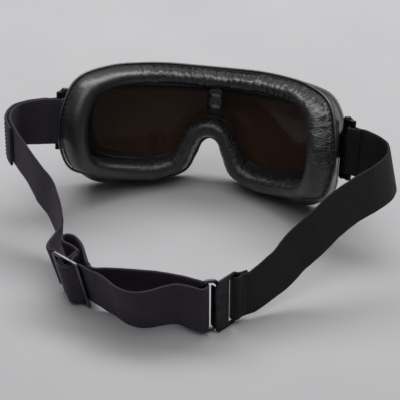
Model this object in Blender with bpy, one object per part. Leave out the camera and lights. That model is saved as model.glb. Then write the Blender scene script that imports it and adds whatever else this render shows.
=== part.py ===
# Goggles with a split lens, a padded face cushion and an elastic head strap.
# Units are metres. +Z is up, the wearer looks along -Y, and the left side of the wearer is +X.
# The front rests on its lower rim and leans forward, and the strap lies behind it in a loop.

import bpy
import bmesh
from math import asin, atan2, ceil, cos, hypot, pi, radians, sin, sqrt, tan
from mathutils import Matrix, Vector

# General sizes

FIT_GAP = 0.0003            # clearance between pieces that touch
LEAN = radians(16.6)        # how far the front leans forward on its lower rim

# Face cushion and the curve that it follows round the face

PAD_HALF_WIDTH = 0.087
PAD_HEIGHT = 0.077
PAD_THICKNESS = 0.0135      # from its base towards the face
PAD_TILT_SHARE = 0.7        # how much of the wrap's turn the cushion takes at the temples
COVER_THICKNESS = 0.0011
CROWN_WIDTH_SHARE = 0.85    # fullness of the arch, where 1 is a half ellipse
CROWN_HEIGHT_SHARE = 0.8
SMOOTH_COVER_SHARE = 0.3    # how deep the gathers still are at the temples
GATHER_DEPTH = 0.0004

# Lens frame

FRAME_OVERHANG = 0.0015     # of the wall past the cushion at each temple
FRAME_HALF_WIDTH = PAD_HALF_WIDTH + FRAME_OVERHANG
FRAME_HEIGHT = PAD_HEIGHT
TEMPLE_DEPTH = 0.0588       # how far back the temples lie behind the nose line
WRAP_RADIUS = (FRAME_HALF_WIDTH ** 2 + TEMPLE_DEPTH ** 2) / (2 * TEMPLE_DEPTH)
LENS_ANGLE = radians(20)    # each pane's turn back from straight across
BRIDGE_REACH = 0.016        # how far the frame's nose line lies in front of the cushion
RIM_DEPTH = 0.014           # the side wall at the temples
RIM_WALL = 0.0022
RIM_STEP = 0.0026           # from the wall's back edge to the cushion's base
BROW_DRAW = 0.0017          # how much lower the front edge is than the back edge at the brow
EDGE_ROUND = 0.0014
LIP_THICKNESS = 0.0014
SEAT_WIDTH = 0.0024         # of the rebate round a pane
SEAT_DEPTH = 0.0044
LENS_THICKNESS = 0.0020
GASKET_WIDTH = 0.0018
GASKET_DEPTH = 0.0014

# Skirt between frame and cushion, and the welt in the groove

SKIRT_THICKNESS = 0.0012
SKIRT_INSET = 0.0004
WELT_RADIUS = 0.0009

# Bar between the panes

BAR_HALF_WIDTH = 0.0050
BAR_SHEET = 0.0010
BAR_PANE_GAP = 0.0030       # from the middle to each pane's inner edge
STRIP_HALF_WIDTH = 0.0045
STRIP_SHEET = 0.0010
STRIP_WEB = 0.0022
CLIP_SHEET = 0.0007
CLIP_HEIGHT = 0.0024

# Hinges between frame and strap

BRACKET_THICKNESS = 0.0014
BRACKET_LENGTH = 0.0112
KNUCKLE_WRAP = (radians(-40), radians(180))     # the middle knuckle's round part
RIVET_RADIUS = 0.0019
RIVET_HEAD = 0.0009
RIVET_SPACING = 0.0140
RIVET_RIM_SHARES = (0.92, 0.55)         # where the head's edge turns in, of its radius and height
RIVET_CROWN_SHARE = 0.5                 # the flat on top, of the head's radius
HINGE_HEIGHT = 0.0410       # of the pin's middle, from the cushion's lowest point
HINGE_BEHIND_RIM = 0.0032   # from the wall's back edge to the pin
KNUCKLE_RADIUS = 0.0027
KNUCKLE_MIDDLE = 0.0160
KNUCKLE_END = 0.0105
PIN_RADIUS = 0.0011
PIN_HEAD_RADIUS = 0.0021
PIN_HEAD_HEIGHT = 0.0010
PIN_TAIL_SHARE = 0.8
PIN_CROWN_SHARES = (0.6, 0.5)
LUG_REACH = 0.0082          # from the pin to the strap bar
LUG_LEFT_TURN = radians(82)     # at rest, back from straight out
LUG_RIGHT_TURN = radians(60)
STRAP_LEAVE_TURN = radians(35)  # of the strap as it leaves a lug
LUG_BAR_RADIUS = 0.0013
LUG_ARM_HEIGHT = 0.0032
LUG_ARM_SHARES = (0.9, 1.3)             # the arm's rounded ends, of the knuckle and of the bar

# Strap

STRAP_WIDTH = 0.030
STRAP_THICKNESS = 0.0017
STRAP_JOIN = 0.0006         # between two lengths of the same strap
SEWN_GAP = 0.0009           # between the left side's sewn end and the strap under it
LOOP_KNEE = radians(10)     # where a loop leaves its bar, past a half turn
LOOP_NECK_SHARE = 1.5       # from the bar to where the two layers close, of the loop's radius
LOOP_CLOSE_SHARE = 0.3
LOOP_SPREAD_SHARE = 1.15

# Head loop, as it lies behind the front

LOOP_HALF_WIDTH = 0.120
LOOP_REACH = 0.160

# Slide

SLIDE_LENGTH = 0.022
SLIDE_HEIGHT = 0.036
SLIDE_THICKNESS = 0.0018
SLIDE_BAR = 0.0024
SLIDE_SLOT_HEIGHT = 0.0316
SLIDE_LEAN = radians(13)

# Clasp

CLASP_HEIGHT = 0.036
CLASP_BAR_RADIUS = 0.0012
RING_LENGTH = 0.0094        # between its two bars
FOLD_RADIUS = 0.0036        # of the strap's middle line round the ring
HOOK_LENGTH = 0.0122        # from its strap bar to the ring's bar
HOOK_SHEET = 0.0012
HOOK_CLEARANCE = 0.0004
HOOK_LIP = 0.0038
HOOK_LIP_ROOM = 0.0011
HOOK_WINDOW = 0.0044
HOOK_RAIL = 0.0026

# Places of the fittings in the loop, and how they are turned in plan

FRONT_PLACE = 0.0007        # the front's own origin, back from the loop's
CENTRE_ACROSS = 0.0030      # moves the whole onto the middle of its own outline
CENTRE_BACK = 0.06756
REST_GAP = 0.0002
SLIDE_SHARES = (0.421, 0.9125)
SLIDE_TURN = radians(30.5)
RING_SHARES = (-0.233, 0.975)
RING_TURN = radians(25)
FOLD_TURN = radians(14)
HOOK_TURN = radians(57.5)
CLASP_STRAP_TURN = radians(41.5)
UPPER_CLIP_SHARE = 0.88
LOWER_CLIP_SHARE = 0.52

# Fittings' smaller sizes

SLIDE_CORNER = 0.0024
RING_CORNER = 0.0026
HOOK_BAR = 0.0024
WEAVE_HALF_LENGTH = 0.0140
SLIDE_LOOP_TAIL = 0.0085
LUG_LOOP_TAIL = 0.0070
CLASP_LOOP_TAIL = 0.0080
FOLD_LEG = 0.0020
SLACK_REACH = 0.0170
SLACK_DEPTH = 0.0172
LEAD_SHARE = 0.12           # straight start of a strap at a fitting, a share of its width
BEND_SHARE = 0.36
SEWN_END_SHARE = 0.3
RUN_SPLIT_SHARE = 0.68
RUN_END_SHARE = 0.8
FRONT_START_SHARE = 0.25

# Counts

SPAN_STEPS = 3
STRAP_STEP = 0.0028
WIDTH_STEPS = 2             # across the strap, which lets it twist
FINE_STEPS = 16             # to each span of a route, before it is spaced evenly
ROUND_STEPS = 10

# Routes between fittings: along, aside, drop and lean in degrees

LEFT_ROUTE_SHARES = (
    (0.017, 0.17, 0.02, 0), (0.124, 0.22, 0.03, -2), (0.249, 0.189, 0.08, 1), (0.377, 0.132, 0.18, 3),
    (0.488, 0.075, 0.34, 1), (0.587, 0.015, 0.54, 0), (0.706, -0.021, 0.78, -1),
    (0.821, -0.025, 0.97, 2))
RIGHT_ROUTE_SHARES = (
    (0.004, -0.171, 0.0, 10), (0.104, -0.236, -0.01, 12), (0.235, -0.235, 0.01, 9),
    (0.369, -0.197, 0.07, 7), (0.494, -0.16, 0.19, 8), (0.611, -0.128, 0.38, 8),
    (0.725, -0.09, 0.58, 7), (0.821, -0.064, 0.79, 4))
FRONT_ROUTE_SHARES = (
    (0.12, 0.045, 0.02, 11), (0.24, 0.10, 0.13, 12), (0.366, 0.17, 0.22, 13), (0.5, 0.19, 0.24, 12),
    (0.615, 0.14, 0.24, 9), (0.715, 0.055, 0.27, 6), (0.82, -0.01, 0.4, 4))
BACK_ROUTE_SHARES = (
    (0.213, 0.04, 0.5, -6), (0.43, 0.04, 0.66, -8), (0.66, 0.01, 0.7, -9), (0.85, -0.02, 0.85, -11))

# The slack loop in the slide's own plan, as shares of its reach and depth

SLACK_SHARES = (
    (0.16, -0.62), (0.42, -0.64), (0.75, -0.62), (0.95, -0.68), (1.0, -0.82), (0.89, -0.96),
    (0.6, -1.0), (0.18, -0.88), (-0.24, -0.63), (-0.53, -0.43), (-0.74, -0.36))

# Outlines of one half, from the middle of the brow round the temple to the middle of the
# nose arch. Each point is a share of the half width and a share of the height.

PAD_OUTER_SHARES = (
    (0.0, 0.992), (0.16, 0.994), (0.345, 1.0), (0.54, 0.997), (0.742, 0.979),
    (0.914, 0.906), (0.985, 0.699), (1.0, 0.436), (0.954, 0.187), (0.857, 0.09),
    (0.724, 0.035), (0.425, 0.0), (0.2, 0.088), (0.118, 0.25), (0.07, 0.368), (0.0, 0.413))
PAD_INNER_SHARES = (
    (0.0, 0.836), (0.16, 0.839), (0.345, 0.843), (0.53, 0.842), (0.69, 0.83),
    (0.81, 0.779), (0.861, 0.656), (0.874, 0.46), (0.844, 0.28), (0.787, 0.22),
    (0.69, 0.194), (0.471, 0.18), (0.31, 0.232), (0.235, 0.37), (0.14, 0.525), (0.0, 0.583))
OPENING_SHARES = (
    (0.0, 0.771), (0.17, 0.774), (0.35, 0.778), (0.531, 0.777), (0.70, 0.769),
    (0.825, 0.714), (0.87, 0.584), (0.875, 0.429), (0.836, 0.268), (0.78, 0.226),
    (0.678, 0.206), (0.452, 0.2), (0.3, 0.2), (0.21, 0.3), (0.12, 0.44), (0.0, 0.5))
RIM_SHARES = (
    (0.0, 0.994), (0.158, 0.995), (0.339, 1.0), (0.531, 1.0), (0.734, 0.99),
    (0.915, 0.916), (1.012, 0.701), (1.012, 0.429), (0.994, 0.156), (0.876, 0.008),
    (0.734, -0.04), (0.452, -0.03), (0.205, 0.075), (0.125, 0.225), (0.075, 0.335), (0.0, 0.385))


def clear_scene():
    for thing in list(bpy.data.objects):
        bpy.data.objects.remove(thing, do_unlink=True)


def material(name, colour, roughness, metallic=0.0):
    found = bpy.data.materials.get(name)
    if found:
        return found
    made = bpy.data.materials.new(name)
    made.use_nodes = True
    shader = made.node_tree.nodes["Principled BSDF"]
    shader.inputs["Base Color"].default_value = (*colour, 1.0)
    shader.inputs["Roughness"].default_value = roughness
    shader.inputs["Metallic"].default_value = metallic
    return made


def leather():
    return material("pad_leather", (0.016, 0.015, 0.017), 0.38)


def foam():
    return material("pad_foam", (0.05, 0.05, 0.055), 0.95)


def frame_plastic():
    return material("frame_plastic", (0.02, 0.02, 0.022), 0.42)


def lens_tint():
    return material("lens_tint", (0.03, 0.02, 0.016), 0.06)


def gasket_rubber():
    return material("gasket_rubber", (0.02, 0.02, 0.02), 0.8)


def webbing():
    return material("strap_webbing", (0.021, 0.019, 0.024), 0.85)


def bright_steel():
    return material("bright_steel", (0.6, 0.6, 0.62), 0.25, 1.0)


def dark_steel():
    return material("dark_steel", (0.12, 0.12, 0.13), 0.35, 1.0)


# Smooth routes and outlines

def spline_point(before, first, second, after, t):
    """A point between first and second on a smooth curve through all four."""
    cubic = 3 * first - before - 3 * second + after
    square = 2 * before - 5 * first + 4 * second - after
    return first + ((second - before) * t + square * t * t + cubic * t * t * t) / 2


def closed_curve(points, steps):
    """A smooth closed curve through the points, with steps stations to each span."""
    count = len(points)
    curve = []
    for index in range(count):
        near = [points[(index + shift) % count] for shift in (-1, 0, 1, 2)]
        curve += [spline_point(*near, step / steps) for step in range(steps)]
    return curve


def open_curve(points, steps):
    """A smooth curve from the first point to the last."""
    lead = 2 * points[0] - points[1]
    trail = 2 * points[-1] - points[-2]
    full = [lead] + list(points) + [trail]
    curve = []
    for index in range(1, len(full) - 2):
        near = full[index - 1:index + 3]
        curve += [spline_point(*near, step / steps) for step in range(steps)]
    return curve + [points[-1].copy()]


def outline(shares, half_width, height):
    """Stations of a whole outline, as (across, up), from its half."""
    half = [Vector((across * half_width, up * height)) for across, up in shares]
    mirrored = [Vector((-point.x, point.y)) for point in half[-2:0:-1]]
    stations = closed_curve(half + mirrored, SPAN_STEPS)
    for point in stations:
        point.x = max(-half_width, min(half_width, point.x))
    return stations


PAD_OUTER = outline(PAD_OUTER_SHARES, PAD_HALF_WIDTH, PAD_HEIGHT)
PAD_INNER = outline(PAD_INNER_SHARES, PAD_HALF_WIDTH, PAD_HEIGHT)
OPENING = outline(OPENING_SHARES, FRAME_HALF_WIDTH, FRAME_HEIGHT)
RIM = outline(RIM_SHARES, FRAME_HALF_WIDTH, FRAME_HEIGHT)
STATIONS = range(len(RIM))


def wrap_depth(across):
    """How far back the cushion's base lies at a place across the face."""
    return WRAP_RADIUS - sqrt(WRAP_RADIUS ** 2 - across ** 2)


def front_depth(across):
    """The frame's front face, two flat panes that meet in a ridge."""
    return abs(across) * tan(LENS_ANGLE) - BRIDGE_REACH


def rim_back(across):
    """The back edge of the frame's wall."""
    return min(wrap_depth(across) - RIM_STEP, front_depth(across) + RIM_DEPTH)


def at_depth(point, depth):
    return Vector((point.x, depth, point.y))


def moved_towards(point, goal, distance):
    """A point of an outline, moved towards the same station of another outline."""
    return point + (goal - point).normalized() * distance


# Building solids from stations

def add_object(name, mesh_data, surface, parent=None):
    thing = bpy.data.objects.new(name, mesh_data)
    bpy.context.scene.collection.objects.link(thing)
    mesh_data.materials.append(surface)
    thing.parent = parent
    return thing


def finish_mesh(mesh, name, smooth_angle=radians(40)):
    bmesh.ops.recalc_face_normals(mesh, faces=mesh.faces)
    if mesh.calc_volume(signed=True) < 0:
        bmesh.ops.reverse_faces(mesh, faces=mesh.faces)
    mesh_data = bpy.data.meshes.new(name)
    mesh.to_mesh(mesh_data)
    mesh.free()
    mesh_data.shade_smooth()
    mesh_data.set_sharp_from_angle(angle=smooth_angle)
    return mesh_data


def swept_mesh(name, sections, closed):
    """A solid through sections with equal numbers of points. An open one has flat ends."""
    mesh = bmesh.new()
    rows = [[mesh.verts.new(point) for point in section] for section in sections]
    count = len(rows[0])
    pairs = list(zip(rows, rows[1:]))
    if closed:
        pairs.append((rows[-1], rows[0]))
    for near, far in pairs:
        for index in range(count):
            following = (index + 1) % count
            mesh.faces.new((near[index], near[following], far[following], far[index]))
    if not closed:
        mesh.faces.new(rows[0])
        mesh.faces.new(rows[-1][::-1])
    return finish_mesh(mesh, name)


def empty(name, location, parent=None, rotation=(0.0, 0.0, 0.0)):
    guide = bpy.data.objects.new(name, None)
    bpy.context.scene.collection.objects.link(guide)
    guide.location = location
    guide.rotation_euler = rotation
    guide.parent = parent
    return guide


# Frame, panes and cushion, all in the frame's own upright axes

def frame_section(index):
    """The frame's wall, front face and pane seat at one station."""
    rim = RIM[index]
    opening = OPENING[index]
    drawn = rim.copy()
    drawn.y -= BROW_DRAW * max(0.0, rim.y / FRAME_HEIGHT)
    seat = moved_towards(opening, rim, SEAT_WIDTH)
    wall = moved_towards(rim, opening, RIM_WALL)
    rounded = moved_towards(drawn, opening, EDGE_ROUND)
    front = front_depth(opening.x)
    return (
        at_depth(rim, rim_back(rim.x)),
        at_depth(drawn, front_depth(rim.x) + EDGE_ROUND),
        at_depth(rounded, front_depth(rounded.x)),
        at_depth(opening, front),
        at_depth(opening, front + LIP_THICKNESS),
        at_depth(seat, front_depth(seat.x) + LIP_THICKNESS),
        at_depth(seat, front_depth(seat.x) + LIP_THICKNESS + SEAT_DEPTH),
        at_depth(wall, front_depth(wall.x) + LIP_THICKNESS + SEAT_DEPTH),
        at_depth(wall, rim_back(rim.x)))


def make_lens_frame(parent):
    sections = [frame_section(index) for index in STATIONS]
    return add_object("lens_frame", swept_mesh("lens_frame", sections, True),
                      frame_plastic(), parent)


def pad_axes(index):
    """Base point, direction across the cushion, direction to the face, and width."""
    outer = PAD_OUTER[index]
    inner = PAD_INNER[index]
    tilt = PAD_TILT_SHARE * asin(outer.x / WRAP_RADIUS)
    start = at_depth(outer, wrap_depth(outer.x))
    end = at_depth(inner, start.y + (inner.x - outer.x) * tan(tilt))
    face = Vector((-sin(tilt), cos(tilt), 0.0))
    across = end - start
    return start, across.normalized(), face, across.length


def crown(width, height, steps):
    """An arch from one side of the cushion to the other, fuller than a half ellipse."""
    points = []
    for index in range(steps + 1):
        turn = pi * index / steps
        side = cos(turn)
        bow = abs(side) ** CROWN_WIDTH_SHARE * (1 if side >= 0 else -1)
        points.append(((1 - bow) * width / 2, max(0.0, sin(turn)) ** CROWN_HEIGHT_SHARE * height))
    return points


def gather(index):
    """The small folds where the cover is drawn in, deepest at the middle of the brow."""
    outer = PAD_OUTER[index]
    share = max(SMOOTH_COVER_SHARE, 1 - (outer.x / PAD_HALF_WIDTH) ** 2)
    return GATHER_DEPTH * share * (1 if index % 2 else -1)


def cover_section(index):
    """The leather cover, open along its base."""
    start, across, face, width = pad_axes(index)
    outer = crown(width, PAD_THICKNESS + gather(index), 7)
    inner = crown(width - 2 * COVER_THICKNESS, PAD_THICKNESS - COVER_THICKNESS - GATHER_DEPTH, 5)
    section = outer + [(COVER_THICKNESS + place, height) for place, height in inner[::-1]]
    return [start + across * place + face * (height + FIT_GAP) for place, height in section]


def make_face_pad(parent):
    sections = [cover_section(index) for index in STATIONS]
    return add_object("face_pad", swept_mesh("face_pad", sections, True), leather(), parent)


def foam_section(index):
    start, across, face, width = pad_axes(index)
    side = COVER_THICKNESS + FIT_GAP
    height = PAD_THICKNESS - COVER_THICKNESS - GATHER_DEPTH - FIT_GAP
    arch = crown(width - 2 * side, height, 5)
    return [start + across * (side + place) + face * (rise + FIT_GAP)
            for place, rise in arch]


def make_pad_foam(parent):
    sections = [foam_section(index) for index in STATIONS]
    return add_object("pad_foam", swept_mesh("pad_foam", sections, True), foam(), parent)


def skirt_section(index):
    """The skirt's wall behind the frame and its flange under the cushion."""
    start, across, face, width = pad_axes(index)
    rim = RIM[index]
    opening = OPENING[index]
    tilt = abs(asin(face.x))
    under = FIT_GAP + SKIRT_THICKNESS
    corner = SKIRT_THICKNESS / cos(tilt) + under * tan(tilt)
    front = rim_back(rim.x) + FIT_GAP
    return (
        at_depth(moved_towards(rim, opening, SKIRT_INSET), front),
        start - face * FIT_GAP,
        start + across * width - face * FIT_GAP,
        start + across * width - face * under,
        start + across * corner - face * under,
        at_depth(moved_towards(rim, opening, SKIRT_INSET + SKIRT_THICKNESS), front))


def make_side_skirt(parent):
    sections = [skirt_section(index) for index in STATIONS]
    return add_object("side_skirt", swept_mesh("side_skirt", sections, True), leather(), parent)


def make_pad_welt(parent):
    sections = []
    for index in STATIONS:
        start, across, face, _ = pad_axes(index)
        middle = start - across * (WELT_RADIUS + FIT_GAP) + face * FIT_GAP
        turns = [2 * pi * step / 6 for step in range(6)]
        sections.append([middle + across * (cos(turn) * WELT_RADIUS) + face * (sin(turn) * WELT_RADIUS)
                         for turn in turns])
    return add_object("pad_welt", swept_mesh("pad_welt", sections, True), leather(), parent)


def half_line(side, outset, inner_edge):
    """Stations of the opening on one side, moved outwards, down to the inner edge."""
    count = len(OPENING)
    half = range(count // 2 + 1) if side > 0 else [-index % count for index in range(count // 2 + 1)]
    line = [moved_towards(OPENING[index], RIM[index], outset) for index in half]
    inside = [point for point in line if abs(point.x) > inner_edge]
    ends = []
    for order in (line, line[::-1]):
        for near, far in zip(order, order[1:]):
            if abs(near.x) <= inner_edge < abs(far.x):
                share = (inner_edge - abs(near.x)) / (abs(far.x) - abs(near.x))
                ends.append(near.lerp(far, share))
                break
    return [ends[0]] + inside + [ends[1]]


def make_lens(name, side, parent):
    line = half_line(side, SEAT_WIDTH - FIT_GAP, BAR_PANE_GAP)
    front = LIP_THICKNESS + FIT_GAP
    rows = [[at_depth(point, front_depth(point.x) + depth) for point in line]
            for depth in (front, front + LENS_THICKNESS)]
    return add_object(name, swept_mesh(name, rows, False), lens_tint(), parent)


def make_gasket(name, side, parent):
    edge = BAR_HALF_WIDTH + 2 * FIT_GAP
    outer = half_line(side, SEAT_WIDTH - FIT_GAP, edge)
    front = LIP_THICKNESS + LENS_THICKNESS + 2 * FIT_GAP
    sections = []
    for index, point in enumerate(outer):
        before = outer[max(0, index - 1)]
        after = outer[min(len(outer) - 1, index + 1)]
        run = (after - before).normalized()
        inward = Vector((run.y, -run.x)) * side
        if inward.dot(Vector((side * FRAME_HALF_WIDTH / 2, FRAME_HEIGHT / 2)) - point) < 0:
            inward = -inward
        inner = point + inward * GASKET_WIDTH
        sections.append([at_depth(corner, front_depth(corner.x) + depth) for corner, depth in
                         ((point, front), (point, front + GASKET_DEPTH),
                          (inner, front + GASKET_DEPTH), (inner, front))])
    return add_object(name, swept_mesh(name, sections, False), gasket_rubber(), parent)


# Bar between the panes

def prism(name, profile, bottom, top, surface, parent):
    """An upright solid from an outline in across and depth."""
    rows = [[Vector((across, depth, height)) for across, depth in profile] for height in (bottom, top)]
    return add_object(name, swept_mesh(name, rows, False), surface, parent)


def both_sides(profile):
    """A profile given for one side from the middle line round, mirrored to the other side."""
    return profile + [(-across, depth) for across, depth in profile[-2:0:-1]]


def bar_front():
    """Depth of the bar's ridge, which clears the panes' inner edges."""
    pane_back = front_depth(BAR_PANE_GAP) + LIP_THICKNESS + FIT_GAP + LENS_THICKNESS
    return pane_back + FIT_GAP - BAR_PANE_GAP


def opening_middle():
    """Heights of the opening's lower and upper edge on the middle line."""
    return OPENING[len(OPENING) // 2].y, OPENING[0].y


def folded_sheet(ridge, half_width, sheet):
    """Profile of a sheet folded to a right angle, its ridge to the front."""
    slant = sheet / sqrt(2)
    return both_sides([(0.0, ridge), (half_width, ridge + half_width),
                       (half_width - slant, ridge + half_width + slant),
                       (0.0, ridge + 2 * slant)])


def make_divider_bar(parent):
    low, high = opening_middle()
    ends = (low - SEAT_WIDTH + FIT_GAP, high + SEAT_WIDTH - 2 * FIT_GAP)
    profile = folded_sheet(bar_front(), BAR_HALF_WIDTH, BAR_SHEET)
    return prism("divider_bar", profile, *ends, bright_steel(), parent)


def make_divider_strip(parent):
    low, high = opening_middle()
    back = LIP_THICKNESS
    web_back = bar_front() - FIT_GAP * sqrt(2)
    profile = both_sides([
        (0.0, front_depth(0.0) + back - STRIP_SHEET),
        (STRIP_HALF_WIDTH, front_depth(STRIP_HALF_WIDTH) + back - STRIP_SHEET),
        (STRIP_HALF_WIDTH, front_depth(STRIP_HALF_WIDTH) + back),
        (STRIP_WEB, front_depth(STRIP_WEB) + back),
        (STRIP_WEB, web_back + STRIP_WEB),
        (0.0, web_back)])
    return prism("divider_strip", profile, low + FIT_GAP, high - 2 * FIT_GAP, bright_steel(), parent)


def make_divider_clip(name, height_share, parent):
    low, high = opening_middle()
    middle = low + (high - low) * height_share
    ridge = bar_front() + (BAR_SHEET + FIT_GAP) * sqrt(2)
    half_width = BAR_HALF_WIDTH - BAR_SHEET / sqrt(2)
    profile = folded_sheet(ridge, half_width, CLIP_SHEET)
    ends = (middle - CLIP_HEIGHT / 2, middle + CLIP_HEIGHT / 2)
    return prism(name, profile, *ends, bright_steel(), parent)


# Hinges

def turned_mesh(name, profile, sides, middle=(0.0, 0.0)):
    """A round solid on an upright axis, from (radius, height) pairs going up."""
    rows = [[Vector((middle[0] + radius * cos(2 * pi * step / sides),
                     middle[1] + radius * sin(2 * pi * step / sides), height))
             for step in range(sides)] for radius, height in profile]
    return swept_mesh(name, rows, False)


def cutter(name, mesh_data, parent):
    """A guide body that shapes its neighbour through a Boolean and is no part itself."""
    guide = bpy.data.objects.new(name, mesh_data)
    bpy.context.scene.collection.objects.link(guide)
    guide.parent = parent
    guide.hide_render = True
    guide.display_type = "WIRE"
    return guide


def boolean(thing, guide, operation):
    step = thing.modifiers.new(guide.name, "BOOLEAN")
    step.operation = operation
    step.solver = "EXACT"
    step.object = guide


def pin_place():
    """The left hinge pin's middle line, as across and depth."""
    across = FRAME_HALF_WIDTH + 2 * FIT_GAP + KNUCKLE_RADIUS
    return across, rim_back(FRAME_HALF_WIDTH) + HINGE_BEHIND_RIM


def make_bracket(word, side, pin):
    """A plate on the frame's side wall, with the hinge's middle knuckle behind it."""
    name = "hinge_bracket_" + word
    across, depth = pin_place()
    inner = FRAME_HALF_WIDTH + FIT_GAP - across
    outer = inner + BRACKET_THICKNESS
    back = rim_back(FRAME_HALF_WIDTH) - depth
    start, end = KNUCKLE_WRAP
    wrap = [(point.x, point.y) for point in arc((0.0, 0.0), KNUCKLE_RADIUS, start, end, ROUND_STEPS)]
    profile = [(inner, back - BRACKET_LENGTH), (outer, back - BRACKET_LENGTH), (outer, back)] + wrap
    profile = [(side * place, rise) for place, rise in profile]
    half = KNUCKLE_MIDDLE / 2
    bracket = prism(name, profile, -half, half, dark_steel(), pin)
    bore = turned_mesh(name + "_bore", [(PIN_RADIUS + FIT_GAP, -KNUCKLE_MIDDLE),
                                        (PIN_RADIUS + FIT_GAP, KNUCKLE_MIDDLE)], 12)
    boolean(bracket, cutter(name + "_bore_cut", bore, pin), "DIFFERENCE")
    for index, height in enumerate((-RIVET_SPACING / 2, RIVET_SPACING / 2)):
        rivet_seat(bracket, word, side, pin, (inner, back - BRACKET_LENGTH / 2, height), index)


def rivet_seat(bracket, word, side, pin, place, index):
    """A rivet through the plate, with its hole."""
    inner, depth, height = place
    turn = (0.0, side * pi / 2, 0.0)
    seat = empty(f"rivet_{word}_{index}_place", (side * inner, depth, height), pin, turn)
    hole = RIVET_RADIUS / 2 + FIT_GAP
    hole_mesh = turned_mesh("rivet_hole", [(hole, -BRACKET_THICKNESS), (hole, 2 * BRACKET_THICKNESS)], 10)
    boolean(bracket, cutter(f"rivet_{word}_{index}_hole", hole_mesh, seat), "DIFFERENCE")
    top = BRACKET_THICKNESS + FIT_GAP
    rim_share, rise_share = RIVET_RIM_SHARES
    profile = [(RIVET_RADIUS / 2, 0.0), (RIVET_RADIUS / 2, top), (RIVET_RADIUS, top),
               (RIVET_RADIUS * rim_share, top + RIVET_HEAD * rise_share),
               (RIVET_RADIUS * RIVET_CROWN_SHARE, top + RIVET_HEAD)]
    rank = ("lower", "upper")[index]
    add_object(f"rivet_{word}_{rank}", turned_mesh("rivet", profile, 10), bright_steel(), seat)


def hinge_height():
    """Whole height of the lug's two knuckles and the bracket's between them."""
    return KNUCKLE_MIDDLE + 2 * (KNUCKLE_END + FIT_GAP)


def make_pin(word, pin):
    half = hinge_height() / 2
    top = half + FIT_GAP
    crown_share, rise_share = PIN_CROWN_SHARES
    profile = [(PIN_HEAD_RADIUS * PIN_TAIL_SHARE, -top - PIN_HEAD_HEIGHT * PIN_TAIL_SHARE),
               (PIN_HEAD_RADIUS, -top), (PIN_RADIUS, -top), (PIN_RADIUS, top), (PIN_HEAD_RADIUS, top),
               (PIN_HEAD_RADIUS, top + PIN_HEAD_HEIGHT * rise_share),
               (PIN_HEAD_RADIUS * crown_share, top + PIN_HEAD_HEIGHT)]
    add_object("hinge_pin_" + word, turned_mesh("hinge_pin", profile, 12), bright_steel(), pin)


def capsule(radius_start, radius_end, reach, steps):
    """An outline round two circles, one at the pin and one at the strap bar."""
    start = [(-radius_start * sin(pi * step / steps), radius_start * cos(pi * step / steps))
             for step in range(steps + 1)]
    end = [(reach + radius_end * sin(pi * step / steps), -radius_end * cos(pi * step / steps))
           for step in range(steps + 1)]
    return start + end


def make_lug(word, lug):
    """A ring that turns on the pin: two knuckles, two arms and the bar that holds the strap."""
    name = "lug_" + word
    half = hinge_height() / 2
    inner = KNUCKLE_MIDDLE / 2 + FIT_GAP
    bar_mesh = turned_mesh(name, [(LUG_BAR_RADIUS, LUG_ARM_HEIGHT / 2 - half),
                                  (LUG_BAR_RADIUS, half - LUG_ARM_HEIGHT / 2)], 10, (LUG_REACH, 0.0))
    thing = add_object(name, bar_mesh, dark_steel(), lug)
    for low, high, rank in ((-half, -inner, "lower"), (inner, half, "upper")):
        knuckle = turned_mesh("knuckle", [(KNUCKLE_RADIUS, low), (KNUCKLE_RADIUS, high)], 14)
        boolean(thing, cutter(f"{name}_{rank}_knuckle", knuckle, lug), "UNION")
        arm = (low, low + LUG_ARM_HEIGHT) if rank == "lower" else (high - LUG_ARM_HEIGHT, high)
        near_share, far_share = LUG_ARM_SHARES
        outline_points = capsule(KNUCKLE_RADIUS * near_share, LUG_BAR_RADIUS * far_share, LUG_REACH, 6)
        rows = [[Vector((across, depth, height)) for across, depth in outline_points] for height in arm]
        boolean(thing, cutter(f"{name}_{rank}_arm", swept_mesh("arm", rows, False), lug), "UNION")
    bore = turned_mesh("bore", [(PIN_RADIUS + FIT_GAP, -2 * half), (PIN_RADIUS + FIT_GAP, 2 * half)], 12)
    boolean(thing, cutter(name + "_bore_cut", bore, lug), "DIFFERENCE")


# Strap

def place_along(points, leans, spacing):
    """Stations of a strap's middle line with its lean, about one spacing apart."""
    fine = open_curve(points, FINE_STEPS)
    fine_leans = open_curve([Vector((lean, 0.0)) for lean in leans], FINE_STEPS)
    travelled = [0.0]
    for before, after in zip(fine, fine[1:]):
        travelled.append(travelled[-1] + (after - before).length)
    count = max(2, ceil(travelled[-1] / spacing))
    stations = []
    place = 0
    for index in range(count + 1):
        goal = travelled[-1] * index / count
        while place < len(fine) - 2 and travelled[place + 1] < goal:
            place += 1
        share = (goal - travelled[place]) / (travelled[place + 1] - travelled[place])
        lean = fine_leans[place].lerp(fine_leans[place + 1], share).x
        stations.append((fine[place].lerp(fine[place + 1], share), lean))
    return stations


def strap_frames(stations, first_run=None, last_run=None):
    """Middle, flat normal and width direction of the strap at each station."""
    frames = []
    for index, (point, lean) in enumerate(stations):
        before = stations[max(0, index - 1)][0]
        after = stations[min(len(stations) - 1, index + 1)][0]
        run = (after - before).normalized()
        if index == 0 and first_run:
            run = first_run
        if index == len(stations) - 1 and last_run:
            run = last_run
        side = run.cross(Vector((0.0, 0.0, 1.0))).normalized()
        upright = side.cross(run)
        width = upright * cos(lean) + side * sin(lean)
        frames.append((point, run.cross(width), width))
    return frames


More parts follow.
